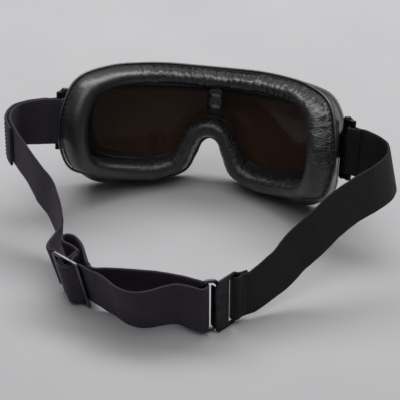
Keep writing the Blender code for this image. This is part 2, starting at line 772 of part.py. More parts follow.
def strap_piece(name, frames, parent, offset=0.0):
    """A length of flat webbing through the frames, moved off its middle line by the offset."""
    sections = []
    for point, flat, width in frames:
        middle = point + flat * offset
        half_thick = flat * STRAP_THICKNESS / 2
        half_wide = width * STRAP_WIDTH / 2
        across = [middle + half_wide * (2 * step / WIDTH_STEPS - 1) for step in range(WIDTH_STEPS + 1)]
        sections.append([point - half_thick for point in across]
                        + [point + half_thick for point in across[::-1]])
    return add_object(name, swept_mesh(name, sections, False), webbing(), parent)


def between(frames, start, end):
    """The part of a strap between two shares of its length, with a join gap at each end."""
    last = len(frames) - 1
    chosen = [list(frame) for frame in frames[round(start * last):round(end * last) + 1]]
    for edge, inside in ((0, 1), (-1, -2)):
        run = (chosen[inside][0] - chosen[edge][0]).normalized()
        chosen[edge][0] = chosen[edge][0] + run * STRAP_JOIN / 2
    return chosen


def arc(middle, radius, start, end, steps):
    """Points on a circle in plan, from one angle to another."""
    return [Vector((middle[0] + radius * cos(start + (end - start) * step / steps),
                    middle[1] + radius * sin(start + (end - start) * step / steps), 0.0))
            for step in range(steps + 1)]


def layer_step():
    """Between the middle lines of two layers of strap that lie on each other."""
    return STRAP_THICKNESS + FIT_GAP


def bar_loop_points(bar_reach, tail, long_tail, side):
    """Strap round a bar at the origin, both ends going out along +X. The long end lies on the
    given side, and the short end, which comes first, on the other."""
    radius = bar_reach + FIT_GAP + STRAP_THICKNESS / 2
    half = layer_step() / 2
    near = radius * LOOP_NECK_SHARE
    spread = half * LOOP_SPREAD_SHARE
    points = [Vector((tail, -half, 0.0)), Vector((near + (tail - near) * LOOP_CLOSE_SHARE, -half, 0.0)),
              Vector((near, -spread, 0.0))]
    points += arc((0.0, 0.0), radius, LOOP_KNEE - pi / 2, -3 * pi / 2 - LOOP_KNEE, ROUND_STEPS)
    points += [Vector((near, spread, 0.0)), Vector((near + (long_tail - near) * LOOP_CLOSE_SHARE, half, 0.0)),
               Vector((long_tail, half, 0.0))]
    return [Vector((point.x, point.y * side, 0.0)) for point in points]


def make_bar_loop(name, points, parent):
    frames = strap_frames(place_along(points, [0.0] * len(points), STRAP_STEP / 2))
    return strap_piece(name, frames, parent)


def front_matrix():
    return Matrix.Translation((0.0, FRONT_PLACE, front_lift())) @ Matrix.Rotation(LEAN, 4, "X")


def front_lift():
    """Height that sets the rim's lowest corner on the surface."""
    corners = [point for index in STATIONS for point in frame_section(index)]
    return -min(point.z * cos(LEAN) + point.y * sin(LEAN) for point in corners)


def lug_turn(side):
    return LUG_LEFT_TURN if side > 0 else pi - LUG_RIGHT_TURN


def lug_matrix(side):
    across, depth = pin_place()
    pin = Matrix.Translation((side * across, depth, HINGE_HEIGHT))
    return front_matrix() @ pin @ Matrix.Rotation(lug_turn(side), 4, "Z")


def loop_turn(side):
    """From a lug's own direction to that of the strap that leaves it."""
    return (STRAP_LEAVE_TURN if side > 0 else pi - STRAP_LEAVE_TURN) - lug_turn(side)


def lug_loop_matrix(side):
    """At a lug's strap bar, +X along the strap."""
    return lug_matrix(side) @ Matrix.Translation((LUG_REACH, 0.0, 0.0)) @ Matrix.Rotation(loop_turn(side), 4, "Z")


def laid(across_share, reach_share, height):
    return Vector((across_share * LOOP_HALF_WIDTH, reach_share * LOOP_REACH, height))


def upright_matrix(place, turn, lean=0.0):
    """A standing frame at a place, turned in plan and leaning towards its own +Y."""
    return (Matrix.Translation(place) @ Matrix.Rotation(turn, 4, "Z")
            @ Matrix.Rotation(-lean, 4, "X"))


def slide_matrix():
    height = (SLIDE_HEIGHT * cos(SLIDE_LEAN) + SLIDE_THICKNESS * sin(SLIDE_LEAN)) / 2
    return upright_matrix(laid(*SLIDE_SHARES, height + REST_GAP), -SLIDE_TURN, SLIDE_LEAN)


def ring_place():
    return laid(*RING_SHARES, CLASP_HEIGHT / 2 + REST_GAP)


def fold_matrix():
    return upright_matrix(ring_place(), -FOLD_TURN)


def ring_matrix():
    """At the bar in the strap's fold, +X towards the other bar."""
    return upright_matrix(ring_place(), pi + RING_TURN)


def hook_matrix():
    """At the hook's strap bar, +X towards the ring and +Y outwards."""
    ring_bar = ring_matrix() @ Vector((RING_LENGTH, 0.0, 0.0))
    turn = Matrix.Rotation(HOOK_TURN, 4, "Z")
    offset = turn @ Vector((HOOK_LENGTH, -ring_bar_drop(), 0.0))
    return upright_matrix(ring_bar - offset, HOOK_TURN)


def ring_bar_drop():
    """From the hook's sheet to the ring's bar behind it, middle to middle."""
    return HOOK_SHEET / 2 + HOOK_CLEARANCE + CLASP_BAR_RADIUS


def clasp_loop_matrix():
    """At the hook's strap bar, +X along the strap that leaves it."""
    return upright_matrix(hook_matrix().translation, pi + CLASP_STRAP_TURN)


def direction(matrix, axis):
    return (matrix.to_3x3() @ Vector(axis)).normalized()


def lean_like(matrix, run):
    """The lean that keeps a strap's width along a frame's own upright."""
    upright = direction(matrix, (0.0, 0.0, 1.0))
    side = run.cross(Vector((0.0, 0.0, 1.0))).normalized()
    return atan2(upright.dot(side), upright.dot(side.cross(run)))


def route(start, start_run, end, end_run, shares, start_lean, end_lean):
    """A strap's stations from one fitting to another. Each share gives a place along the
    straight line between them, a place to its side, a share of the drop, and a lean."""
    line = end - start
    flat_line = Vector((line.x, line.y, 0.0))
    aside = Vector((line.y, -line.x, 0.0))
    lead = STRAP_WIDTH * LEAD_SHARE
    points = [start, start + start_run * lead]
    leans = [start_lean, start_lean]
    for along, sideways, drop, lean in shares:
        height = Vector((0.0, 0.0, line.z * drop))
        points.append(start + flat_line * along + aside * sideways + height)
        leans.append(radians(lean))
    points += [end - end_run * lead, end]
    leans += [end_lean, end_lean]
    return strap_frames(place_along(points, leans, STRAP_STEP), start_run, end_run)


def side_route(side, end, end_run, shares, end_lean):
    """From a lug's loop towards the back of the head."""
    loop = lug_loop_matrix(side)
    start = loop @ Vector((LUG_LOOP_TAIL, layer_step() / 2, 0.0))
    start_run = direction(loop, (1.0, 0.0, 0.0))
    return route(start, start_run, end, end_run, shares, lean_like(loop, start_run), end_lean)


def make_lug_loop(word, side, lug):
    points = bar_loop_points(LUG_BAR_RADIUS, LUG_LOOP_TAIL, LUG_LOOP_TAIL, 1)
    bar = empty(f"lug_{word}_bar", (LUG_REACH, 0.0, 0.0), lug, (0.0, 0.0, loop_turn(side)))
    make_bar_loop(f"strap_{word}_lug_loop", points, bar)


def make_left_side(place):
    """The long side of the strap, from the left lug to the slide."""
    slide = slide_matrix()
    end = slide @ Vector((WEAVE_HALF_LENGTH, -end_bar_offset(), 0.0))
    frames = side_route(1, end, direction(slide, (-1.0, 0.0, 0.0)), LEFT_ROUTE_SHARES, SLIDE_LEAN)
    strap_piece("strap_left_bend", between(frames, 0.0, BEND_SHARE), place)
    strap_piece("strap_left_run", between(frames, BEND_SHARE, RUN_END_SHARE), place)
    strap_piece("strap_left_run_end", between(frames, RUN_END_SHARE, 1.0), place)
    sewn = between(frames, 0.0, SEWN_END_SHARE)
    strap_piece("strap_left_sewn_end", sewn, place, STRAP_THICKNESS + SEWN_GAP)


def make_right_side(place):
    """The short side of the strap, from the right lug to the clasp."""
    loop = clasp_loop_matrix()
    end = loop @ Vector((CLASP_LOOP_TAIL, -layer_step() / 2, 0.0))
    frames = side_route(-1, end, direction(loop, (-1.0, 0.0, 0.0)), RIGHT_ROUTE_SHARES, 0.0)
    strap_piece("strap_right_bend", between(frames, 0.0, BEND_SHARE), place)
    strap_piece("strap_right_run_upper", between(frames, BEND_SHARE, RUN_SPLIT_SHARE), place)
    strap_piece("strap_right_run_lower", between(frames, RUN_SPLIT_SHARE, 1.0), place)


# Slide and the strap through it

def slide_bar_reach():
    return hypot(SLIDE_BAR, SLIDE_THICKNESS) / 2


def end_bar_offset():
    """From the slide's middle plane to the strap that passes inside an end bar."""
    return slide_bar_reach() + FIT_GAP + STRAP_THICKNESS / 2


def middle_bar_offset():
    """From the middle bar to the strap that passes outside the loop round it."""
    return end_bar_offset() + layer_step()


def make_slide(slide):
    size = (SLIDE_LENGTH, SLIDE_THICKNESS, SLIDE_HEIGHT)
    thing = add_object("slide", rounded_plate("slide", size, SLIDE_CORNER), bright_steel(), slide)
    slot = SLIDE_LENGTH / 2 - SLIDE_BAR * 1.5
    for side, word in ((1, "left"), (-1, "right")):
        slot_size = (slot, 2 * SLIDE_THICKNESS, SLIDE_SLOT_HEIGHT)
        hole = rounded_plate("slot", slot_size, SLIDE_CORNER / 3)
        hole.transform(Matrix.Translation((side * (SLIDE_BAR + slot) / 2, 0.0, 0.0)))
        boolean(thing, cutter(f"slide_{word}_slot", hole, slide), "DIFFERENCE")


def rounded_plate(name, size, corner):
    """A flat plate across X and Z with rounded corners."""
    across, depth, height = (value / 2 for value in size)
    points = []
    for turn, middle in ((0.0, (1, 1)), (pi / 2, (-1, 1)), (pi, (-1, -1)), (3 * pi / 2, (1, -1))):
        for step in range(4):
            angle = turn + pi / 6 * step
            points.append((middle[0] * (across - corner) + corner * cos(angle),
                           middle[1] * (height - corner) + corner * sin(angle)))
    rows = [[Vector((x, y, z)) for x, z in points] for y in (-depth, depth)]
    return swept_mesh(name, rows, False)


def weave_points():
    """Inside the left end bar, outside the middle bar, inside the right end bar."""
    bar = (SLIDE_LENGTH - SLIDE_BAR) / 2
    low = end_bar_offset()
    high = middle_bar_offset()
    slope = asin((low + high) / bar)
    rise = pi / 2 - slope
    points = [Vector((WEAVE_HALF_LENGTH, -low, 0.0))]
    points += arc((bar, 0.0), low, -pi / 2, -pi / 2 - slope, 4)
    points += arc((0.0, 0.0), high, rise, pi - rise, 6)
    points += arc((-bar, 0.0), low, slope - pi / 2, -pi / 2, 4)
    return points + [Vector((-WEAVE_HALF_LENGTH, -low, 0.0))]


def make_weave(slide):
    points = weave_points()
    frames = strap_frames(place_along(points, [0.0] * len(points), STRAP_STEP / 2.5))
    strap_piece("strap_left_weave", frames, slide)


def make_slide_loop(slide):
    """The far end of the long side, sewn round the slide's middle bar."""
    points = bar_loop_points(slide_bar_reach(), SLIDE_LOOP_TAIL, SLIDE_LOOP_TAIL, 1)
    points = [Vector((point.y, -point.x, 0.0)) for point in points]
    make_bar_loop("strap_left_bar_loop", points, slide)


def back_layer_end():
    """Where the inner layer meets the slack loop, in the slide's own axes."""
    return Vector((SLACK_SHARES[-1][0] * SLACK_REACH, SLACK_SHARES[-1][1] * SLACK_DEPTH, 0.0))


def make_slack_loop(slide):
    """The spare length that stands inside the slide."""
    start = Vector((layer_step() / 2, -SLIDE_LOOP_TAIL - STRAP_JOIN, 0.0))
    points = [start, start + Vector((0.0, -STRAP_WIDTH * LEAD_SHARE / 2, 0.0))]
    points += [Vector((across * SLACK_REACH, depth * SLACK_DEPTH, 0.0)) for across, depth in SLACK_SHARES]
    frames = strap_frames(place_along(points, [0.0] * len(points), STRAP_STEP * 0.7))
    strap_piece("strap_left_slack_loop", between(frames, 0.0, 1.0), slide)


def make_front_layer(place):
    slide = slide_matrix()
    fold = fold_matrix()
    start = slide @ Vector((-WEAVE_HALF_LENGTH, -end_bar_offset(), 0.0))
    end = fold @ Vector((FOLD_LEG, FOLD_RADIUS, 0.0))
    frames = route(start, direction(slide, (-1.0, 0.0, 0.0)), end, direction(fold, (-1.0, 0.0, 0.0)),
                   FRONT_ROUTE_SHARES, SLIDE_LEAN, 0.0)
    strap_piece("strap_left_front_start", between(frames, 0.0, FRONT_START_SHARE), place)
    strap_piece("strap_left_front_layer", between(frames, FRONT_START_SHARE, 1.0), place)


def make_back_layer(place):
    slide = slide_matrix()
    fold = fold_matrix()
    start = fold @ Vector((FOLD_LEG, -FOLD_RADIUS, 0.0))
    end = slide @ back_layer_end()
    before = Vector((SLACK_SHARES[-2][0] * SLACK_REACH, SLACK_SHARES[-2][1] * SLACK_DEPTH, 0.0))
    run = direction(slide, before - back_layer_end())
    frames = route(start, direction(fold, (1.0, 0.0, 0.0)), end, run, BACK_ROUTE_SHARES, 0.0, -SLIDE_LEAN)
    strap_piece("strap_left_back_layer", between(frames, 0.0, 1.0), place)


def make_ring_fold(fold):
    points = [Vector((FOLD_LEG, FOLD_RADIUS, 0.0))]
    points += arc((0.0, 0.0), FOLD_RADIUS, pi / 2, 3 * pi / 2, ROUND_STEPS)
    points += [Vector((FOLD_LEG, -FOLD_RADIUS, 0.0))]
    make_bar_loop("strap_left_ring_fold", points, fold)


# Clasp

def make_clasp_ring(ring):
    """A closed wire ring with an upright bar at the fold and another for the hook."""
    half = CLASP_HEIGHT / 2 - CLASP_BAR_RADIUS
    corner = RING_CORNER
    path = []
    far = RING_LENGTH - corner
    high = half - corner
    for turn, across, height in ((0.0, far, high), (pi / 2, corner, high),
                                 (pi, corner, -high), (3 * pi / 2, far, -high)):
        for step in range(4):
            angle = turn + pi / 6 * step
            path.append((Vector((across + corner * cos(angle), 0.0, height + corner * sin(angle))), angle))
    sections = []
    for middle, angle in path:
        outwards = Vector((cos(angle), 0.0, sin(angle)))
        sections.append([middle + outwards * (CLASP_BAR_RADIUS * cos(2 * pi * step / ROUND_STEPS))
                         + Vector((0.0, CLASP_BAR_RADIUS * sin(2 * pi * step / ROUND_STEPS), 0.0))
                         for step in range(ROUND_STEPS)])
    add_object("clasp_ring", swept_mesh("clasp_ring", sections, True), bright_steel(), ring)


def make_clasp_hook(hook):
    """A sheet with a window for the strap and a lip that drops behind the ring's bar."""
    face = HOOK_SHEET / 2
    lip_inner = HOOK_LENGTH + CLASP_BAR_RADIUS + HOOK_LIP_ROOM
    lip_outer = lip_inner + HOOK_SHEET
    half = CLASP_HEIGHT / 2
    sheet = [(-HOOK_BAR / 2, -face), (lip_outer, -face), (lip_outer, face), (-HOOK_BAR / 2, face)]
    thing = prism("clasp_hook", sheet, -half, half, dark_steel(), hook)
    lip = [(lip_inner, -face - HOOK_LIP), (lip_outer, -face - HOOK_LIP), (lip_outer, 0.0), (lip_inner, 0.0)]
    lip_half = half - 2 * CLASP_BAR_RADIUS - HOOK_LIP_ROOM
    lip_rows = [[Vector((across, depth, height)) for across, depth in lip]
                for height in (-lip_half, lip_half)]
    boolean(thing, cutter("clasp_hook_lip", swept_mesh("lip", lip_rows, False), hook), "UNION")
    window_height = CLASP_HEIGHT - 2 * HOOK_RAIL
    window = rounded_plate("window", (HOOK_WINDOW, 4 * HOOK_SHEET, window_height), SLIDE_CORNER / 3)
    window.transform(Matrix.Translation(((HOOK_BAR + HOOK_WINDOW) / 2, 0.0, 0.0)))
    boolean(thing, cutter("clasp_hook_window", window, hook), "DIFFERENCE")


def make_clasp_loop(loop):
    points = bar_loop_points(hypot(HOOK_BAR, HOOK_SHEET) / 2, CLASP_LOOP_TAIL, CLASP_LOOP_TAIL, -1)
    make_bar_loop("strap_right_clasp_loop", points, loop)


def make_front(parent):
    make_lens_frame(parent)
    make_side_skirt(parent)
    make_pad_welt(parent)
    make_face_pad(parent)
    make_pad_foam(parent)
    for side, word in ((1, "left"), (-1, "right")):
        make_lens("lens_" + word, side, parent)
        make_gasket("lens_gasket_" + word, side, parent)
    make_divider_bar(parent)
    make_divider_strip(parent)
    make_divider_clip("divider_clip_upper", UPPER_CLIP_SHARE, parent)
    make_divider_clip("divider_clip_lower", LOWER_CLIP_SHARE, parent)


def make_hinges(parent):
    across, depth = pin_place()
    for side, word in ((1, "left"), (-1, "right")):
        pin = empty(f"hinge_{word}_axis", (side * across, depth, HINGE_HEIGHT), parent)
        make_bracket(word, side, pin)
        make_pin(word, pin)
        lug = empty(f"lug_{word}_axis", (0.0, 0.0, 0.0), pin, (0.0, 0.0, lug_turn(side)))
        make_lug(word, lug)
        make_lug_loop(word, side, lug)


def matrix_empty(name, matrix, parent):
    return empty(name, matrix.translation, parent, matrix.to_euler())


def make_strap(place):
    make_left_side(place)
    make_right_side(place)
    slide = matrix_empty("slide_axis", slide_matrix(), place)
    make_slide(slide)
    make_weave(slide)
    make_slide_loop(slide)
    make_slack_loop(slide)
    make_front_layer(place)
    make_back_layer(place)
    make_ring_fold(matrix_empty("fold_place", fold_matrix(), place))
    make_clasp_ring(matrix_empty("ring_axis", ring_matrix(), place))
    make_clasp_hook(matrix_empty("hook_axis", hook_matrix(), place))
    make_clasp_loop(matrix_empty("clasp_loop_place", clasp_loop_matrix(), place))


def make_goggles():
    clear_scene()
    place = empty("goggles_place", (CENTRE_ACROSS, -CENTRE_BACK, 0.0))
    front = matrix_empty("front_pose", front_matrix(), place)
    make_front(front)
    make_hinges(front)
    make_strap(place)


make_goggles()
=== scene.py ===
# The look of the goggles: cushion, frame, panes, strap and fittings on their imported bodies.
# Units are metres, and the places are those of the solids.

import bpy
import bmesh
from math import asin, atan2, ceil, cos, hypot, pi, radians, sin, sqrt, tan
from mathutils import Matrix, Vector, noise


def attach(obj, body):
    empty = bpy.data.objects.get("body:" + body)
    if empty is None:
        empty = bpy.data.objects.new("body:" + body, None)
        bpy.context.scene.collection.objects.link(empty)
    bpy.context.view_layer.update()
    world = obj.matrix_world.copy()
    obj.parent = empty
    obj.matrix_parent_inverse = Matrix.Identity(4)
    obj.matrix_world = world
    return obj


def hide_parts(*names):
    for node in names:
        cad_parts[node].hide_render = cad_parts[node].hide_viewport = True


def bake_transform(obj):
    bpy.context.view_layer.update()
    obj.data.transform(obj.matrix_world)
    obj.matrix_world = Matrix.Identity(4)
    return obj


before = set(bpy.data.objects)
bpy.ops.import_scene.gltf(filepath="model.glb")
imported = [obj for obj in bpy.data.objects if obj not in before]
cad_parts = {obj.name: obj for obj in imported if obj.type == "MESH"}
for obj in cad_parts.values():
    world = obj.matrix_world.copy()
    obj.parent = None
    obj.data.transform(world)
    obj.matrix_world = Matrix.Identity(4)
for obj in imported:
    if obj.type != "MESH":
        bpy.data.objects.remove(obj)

bpy.ops.object.select_all(action="DESELECT")
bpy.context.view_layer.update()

# General sizes

FIT_GAP = 0.0003            # clearance between pieces that touch
ALONG = 0.9                 # cosine from which a face or an edge counts as lying along an axis
ROD_SIDES = 36
HEAD_SIDES = 28
CORNER_LIMIT = 0.45         # the most that a rounded corner takes of the side beside it
LEAN = radians(16.6)        # how far the front leans forward on its lower rim

# Face cushion and the curve that it follows round the face

PAD_HALF_WIDTH = 0.087
PAD_HEIGHT = 0.077
PAD_THICKNESS = 0.0135      # from its base towards the face
PAD_TILT_SHARE = 0.7        # how much of the wrap's turn the cushion takes at the temples
COVER_THICKNESS = 0.0011
CROWN_WIDTH_SHARE = 0.85    # fullness of the arch, where 1 is a half ellipse
CROWN_HEIGHT_SHARE = 0.8

# Lens frame

FRAME_OVERHANG = 0.0015     # of the wall past the cushion at each temple
FRAME_HALF_WIDTH = PAD_HALF_WIDTH + FRAME_OVERHANG
FRAME_HEIGHT = PAD_HEIGHT
TEMPLE_DEPTH = 0.0588       # how far back the temples lie behind the nose line
WRAP_RADIUS = (FRAME_HALF_WIDTH ** 2 + TEMPLE_DEPTH ** 2) / (2 * TEMPLE_DEPTH)
LENS_ANGLE = radians(20)    # each pane's turn back from straight across
BRIDGE_REACH = 0.016        # how far the frame's nose line lies in front of the cushion
RIM_DEPTH = 0.014           # the side wall at the temples
RIM_WALL = 0.0022
RIM_STEP = 0.0026           # from the wall's back edge to the cushion's base
BROW_DRAW = 0.0017          # how much lower the front edge is than the back edge at the brow
EDGE_ROUND = 0.0014
LIP_THICKNESS = 0.0014
SEAT_WIDTH = 0.0024         # of the rebate round a pane
SEAT_DEPTH = 0.0044

# Skirt between frame and cushion, and the welt in the groove

SKIRT_THICKNESS = 0.0012
SKIRT_INSET = 0.0004
WELT_RADIUS = 0.0009
WELT_SIDES = 12
WELT_SWELL = 0.12           # how far the piping swells and thins, of its radius
WELT_WAVES = 420.0          # of that swelling, to the metre
SKIRT_ROUND = 0.0004
FRAME_ROUND = 0.0006
DIVIDER_EDGE = 0.0002

# Hinges between frame and strap

BRACKET_THICKNESS = 0.0014
BRACKET_LENGTH = 0.0112
KNUCKLE_START = radians(-40)    # where the plate meets the middle knuckle
RIVET_RADIUS = 0.0019
RIVET_HEAD = 0.0009
RIVET_SPACING = 0.0140
HINGE_HEIGHT = 0.0410       # of the pin's middle, from the cushion's lowest point
HINGE_BEHIND_RIM = 0.0032   # from the wall's back edge to the pin
KNUCKLE_RADIUS = 0.0027
KNUCKLE_MIDDLE = 0.0160
KNUCKLE_END = 0.0105
PIN_RADIUS = 0.0011
PIN_HEAD_RADIUS = 0.0021
PIN_HEAD_HEIGHT = 0.0010
LUG_REACH = 0.0082          # from the pin to the strap bar
LUG_LEFT_TURN = radians(82)     # at rest, back from straight out
LUG_RIGHT_TURN = radians(60)
STRAP_LEAVE_TURN = radians(35)  # of the strap as it leaves a lug
LUG_BAR_RADIUS = 0.0013
LUG_ARM_HEIGHT = 0.0032
LUG_ARM_SHARES = (0.9, 1.3)     # the arm's rounded ends, of the knuckle and of the bar
DOME_SHARE = 0.92           # of a rivet's or pin's head, from its rim to its crown
ARM_STEP = 0.00015          # how much flatter the arm is than its eye
ARM_EYE_SHARE = 1.04
BRACKET_EDGE = 0.0002
LUG_EDGE = 0.0003

# Strap

STRAP_WIDTH = 0.030
STRAP_THICKNESS = 0.0017
SELVEDGE_RIPPLE = 0.00022
SELVEDGE_WAVES = 160.0      # to the metre
SEWN_GAP = 0.0009           # between the left side's sewn end and the strap under it
LOOP_KNEE = radians(10)     # where a loop leaves its bar, past a half turn
LOOP_NECK_SHARE = 1.5       # from the bar to where the two layers close, of the loop's radius
LOOP_CLOSE_SHARE = 0.3
LOOP_SPREAD_SHARE = 1.15

# Head loop, as it lies behind the front

LOOP_HALF_WIDTH = 0.120
LOOP_REACH = 0.160

# Slide

SLIDE_LENGTH = 0.022
SLIDE_HEIGHT = 0.036
SLIDE_THICKNESS = 0.0018
SLIDE_BAR = 0.0024
SLIDE_SLOT_HEIGHT = 0.0316
SLIDE_LEAN = radians(13)

# Clasp

CLASP_HEIGHT = 0.036
CLASP_BAR_RADIUS = 0.0012
RING_LENGTH = 0.0094        # between its two bars
FOLD_RADIUS = 0.0036        # of the strap's middle line round the ring
HOOK_LENGTH = 0.0122        # from its strap bar to the ring's bar
HOOK_SHEET = 0.0012
HOOK_CLEARANCE = 0.0004
HOOK_LIP = 0.0038
HOOK_LIP_ROOM = 0.0011
HOOK_WINDOW = 0.0044
HOOK_RAIL = 0.0026

# Places of the fittings in the loop, and how they are turned in plan

FRONT_PLACE = 0.0007        # the front's own origin, back from the loop's
CENTRE_ACROSS = 0.0030      # moves the whole onto the middle of its own outline
CENTRE_BACK = 0.06756
REST_GAP = 0.0002
SLIDE_SHARES = (0.421, 0.9125)
SLIDE_TURN = radians(30.5)
RING_SHARES = (-0.233, 0.975)
RING_TURN = radians(25)
FOLD_TURN = radians(14)
HOOK_TURN = radians(57.5)
CLASP_STRAP_TURN = radians(41.5)

# Fittings' smaller sizes

SLIDE_CORNER = 0.0024
SLOT_CORNER = 0.0008
SLIDE_EDGE = 0.00045
RING_BEND = 0.0040          # of the wire at the ring's corners
HOOK_CORNER = 0.0034
HOOK_EDGE = 0.0003
HOOK_BAR = 0.0024
WEAVE_HALF_LENGTH = 0.0140
SLIDE_LOOP_TAIL = 0.0085
LUG_LOOP_TAIL = 0.0070
CLASP_LOOP_TAIL = 0.0080
FOLD_LEG = 0.0020
SLACK_REACH = 0.0170
SLACK_DEPTH = 0.0172
LEAD_SHARE = 0.12           # straight start of a strap at a fitting, a share of its width
BEND_SHARE = 0.36
SEWN_END_SHARE = 0.3
RUN_END_SHARE = 0.8
FRONT_START_SHARE = 0.25

# Counts

SPAN_STEPS = 24
STRAP_STEP = 0.0011
WIDTH_STEPS = 16
FINE_STEPS = 16             # to each span of a route, before it is spaced evenly
ROUND_STEPS = 24
EDGE_STEPS = 4              # round the tape's selvedge
CROWN_STEPS = 30            # across the cushion

# Routes between fittings: along, aside, drop and lean in degrees

LEFT_ROUTE_SHARES = (
    (0.017, 0.17, 0.02, 0), (0.124, 0.22, 0.03, -2), (0.249, 0.189, 0.08, 1), (0.377, 0.132, 0.18, 3),
    (0.488, 0.075, 0.34, 1), (0.587, 0.015, 0.54, 0), (0.706, -0.021, 0.78, -1),
    (0.821, -0.025, 0.97, 2))
RIGHT_ROUTE_SHARES = (
    (0.004, -0.171, 0.0, 10), (0.104, -0.236, -0.01, 12), (0.235, -0.235, 0.01, 9),
    (0.369, -0.197, 0.07, 7), (0.494, -0.16, 0.19, 8), (0.611, -0.128, 0.38, 8),
    (0.725, -0.09, 0.58, 7), (0.821, -0.064, 0.79, 4))
FRONT_ROUTE_SHARES = (
    (0.12, 0.045, 0.02, 11), (0.24, 0.10, 0.13, 12), (0.366, 0.17, 0.22, 13), (0.5, 0.19, 0.24, 12),
    (0.615, 0.14, 0.24, 9), (0.715, 0.055, 0.27, 6), (0.82, -0.01, 0.4, 4))
BACK_ROUTE_SHARES = (
    (0.213, 0.04, 0.5, -6), (0.43, 0.04, 0.66, -8), (0.66, 0.01, 0.7, -9), (0.85, -0.02, 0.85, -11))

# The slack loop in the slide's own plan, as shares of its reach and depth

SLACK_SHARES = (
    (0.16, -0.62), (0.42, -0.64), (0.75, -0.62), (0.95, -0.68), (1.0, -0.82), (0.89, -0.96),
    (0.6, -1.0), (0.18, -0.88), (-0.24, -0.63), (-0.53, -0.43), (-0.74, -0.36))

# Outlines of one half, from the middle of the brow round the temple to the middle of the
# nose arch. Each point is a share of the half width and a share of the height.

PAD_OUTER_SHARES = (
    (0.0, 0.992), (0.16, 0.994), (0.345, 1.0), (0.54, 0.997), (0.742, 0.979),
    (0.914, 0.906), (0.985, 0.699), (1.0, 0.436), (0.954, 0.187), (0.857, 0.09),
    (0.724, 0.035), (0.425, 0.0), (0.2, 0.088), (0.118, 0.25), (0.07, 0.368), (0.0, 0.413))
PAD_INNER_SHARES = (
    (0.0, 0.836), (0.16, 0.839), (0.345, 0.843), (0.53, 0.842), (0.69, 0.83),
    (0.81, 0.779), (0.861, 0.656), (0.874, 0.46), (0.844, 0.28), (0.787, 0.22),
    (0.69, 0.194), (0.471, 0.18), (0.31, 0.232), (0.235, 0.37), (0.14, 0.525), (0.0, 0.583))
OPENING_SHARES = (
    (0.0, 0.771), (0.17, 0.774), (0.35, 0.778), (0.531, 0.777), (0.70, 0.769),
    (0.825, 0.714), (0.87, 0.584), (0.875, 0.429), (0.836, 0.268), (0.78, 0.226),
    (0.678, 0.206), (0.452, 0.2), (0.3, 0.2), (0.21, 0.3), (0.12, 0.44), (0.0, 0.5))
RIM_SHARES = (
    (0.0, 0.994), (0.158, 0.995), (0.339, 1.0), (0.531, 1.0), (0.734, 0.99),
    (0.915, 0.916), (1.012, 0.701), (1.012, 0.429), (0.994, 0.156), (0.876, 0.008),
    (0.734, -0.04), (0.452, -0.03), (0.205, 0.075), (0.125, 0.225), (0.075, 0.335), (0.0, 0.385))


def spline_point(before, first, second, after, t):
    """A point between first and second on a smooth curve through all four."""
    cubic = 3 * first - before - 3 * second + after
    square = 2 * before - 5 * first + 4 * second - after
    return first + ((second - before) * t + square * t * t + cubic * t * t * t) / 2


def closed_curve(points, steps):
    """A smooth closed curve through the points, with steps stations to each span."""
    count = len(points)
    curve = []
    for index in range(count):
        near = [points[(index + shift) % count] for shift in (-1, 0, 1, 2)]
        curve += [spline_point(*near, step / steps) for step in range(steps)]
    return curve


def open_curve(points, steps):
    """A smooth curve from the first point to the last."""
    lead = 2 * points[0] - points[1]
    trail = 2 * points[-1] - points[-2]
    full = [lead] + list(points) + [trail]
    curve = []
    for index in range(1, len(full) - 2):
        near = full[index - 1:index + 3]
        curve += [spline_point(*near, step / steps) for step in range(steps)]
    return curve + [points[-1].copy()]


def outline(shares, half_width, height):
    """Stations of a whole outline, as (across, up), from its half."""
    half = [Vector((across * half_width, up * height)) for across, up in shares]
    mirrored = [Vector((-point.x, point.y)) for point in half[-2:0:-1]]
    stations = closed_curve(half + mirrored, SPAN_STEPS)
    for point in stations:
        point.x = max(-half_width, min(half_width, point.x))
    return stations


PAD_OUTER = outline(PAD_OUTER_SHARES, PAD_HALF_WIDTH, PAD_HEIGHT)
PAD_INNER = outline(PAD_INNER_SHARES, PAD_HALF_WIDTH, PAD_HEIGHT)
OPENING = outline(OPENING_SHARES, FRAME_HALF_WIDTH, FRAME_HEIGHT)
RIM = outline(RIM_SHARES, FRAME_HALF_WIDTH, FRAME_HEIGHT)
STATIONS = range(len(RIM))


def wrap_depth(across):
    """How far back the cushion's base lies at a place across the face."""
    return WRAP_RADIUS - sqrt(WRAP_RADIUS ** 2 - across ** 2)


def front_depth(across):
    """The frame's front face, two flat panes that meet in a ridge."""
    return abs(across) * tan(LENS_ANGLE) - BRIDGE_REACH


def rim_back(across):
    """The back edge of the frame's wall."""
    return min(wrap_depth(across) - RIM_STEP, front_depth(across) + RIM_DEPTH)


def at_depth(point, depth):
    return Vector((point.x, depth, point.y))


def moved_towards(point, goal, distance):
    """A point of an outline, moved towards the same station of another outline."""
    return point + (goal - point).normalized() * distance


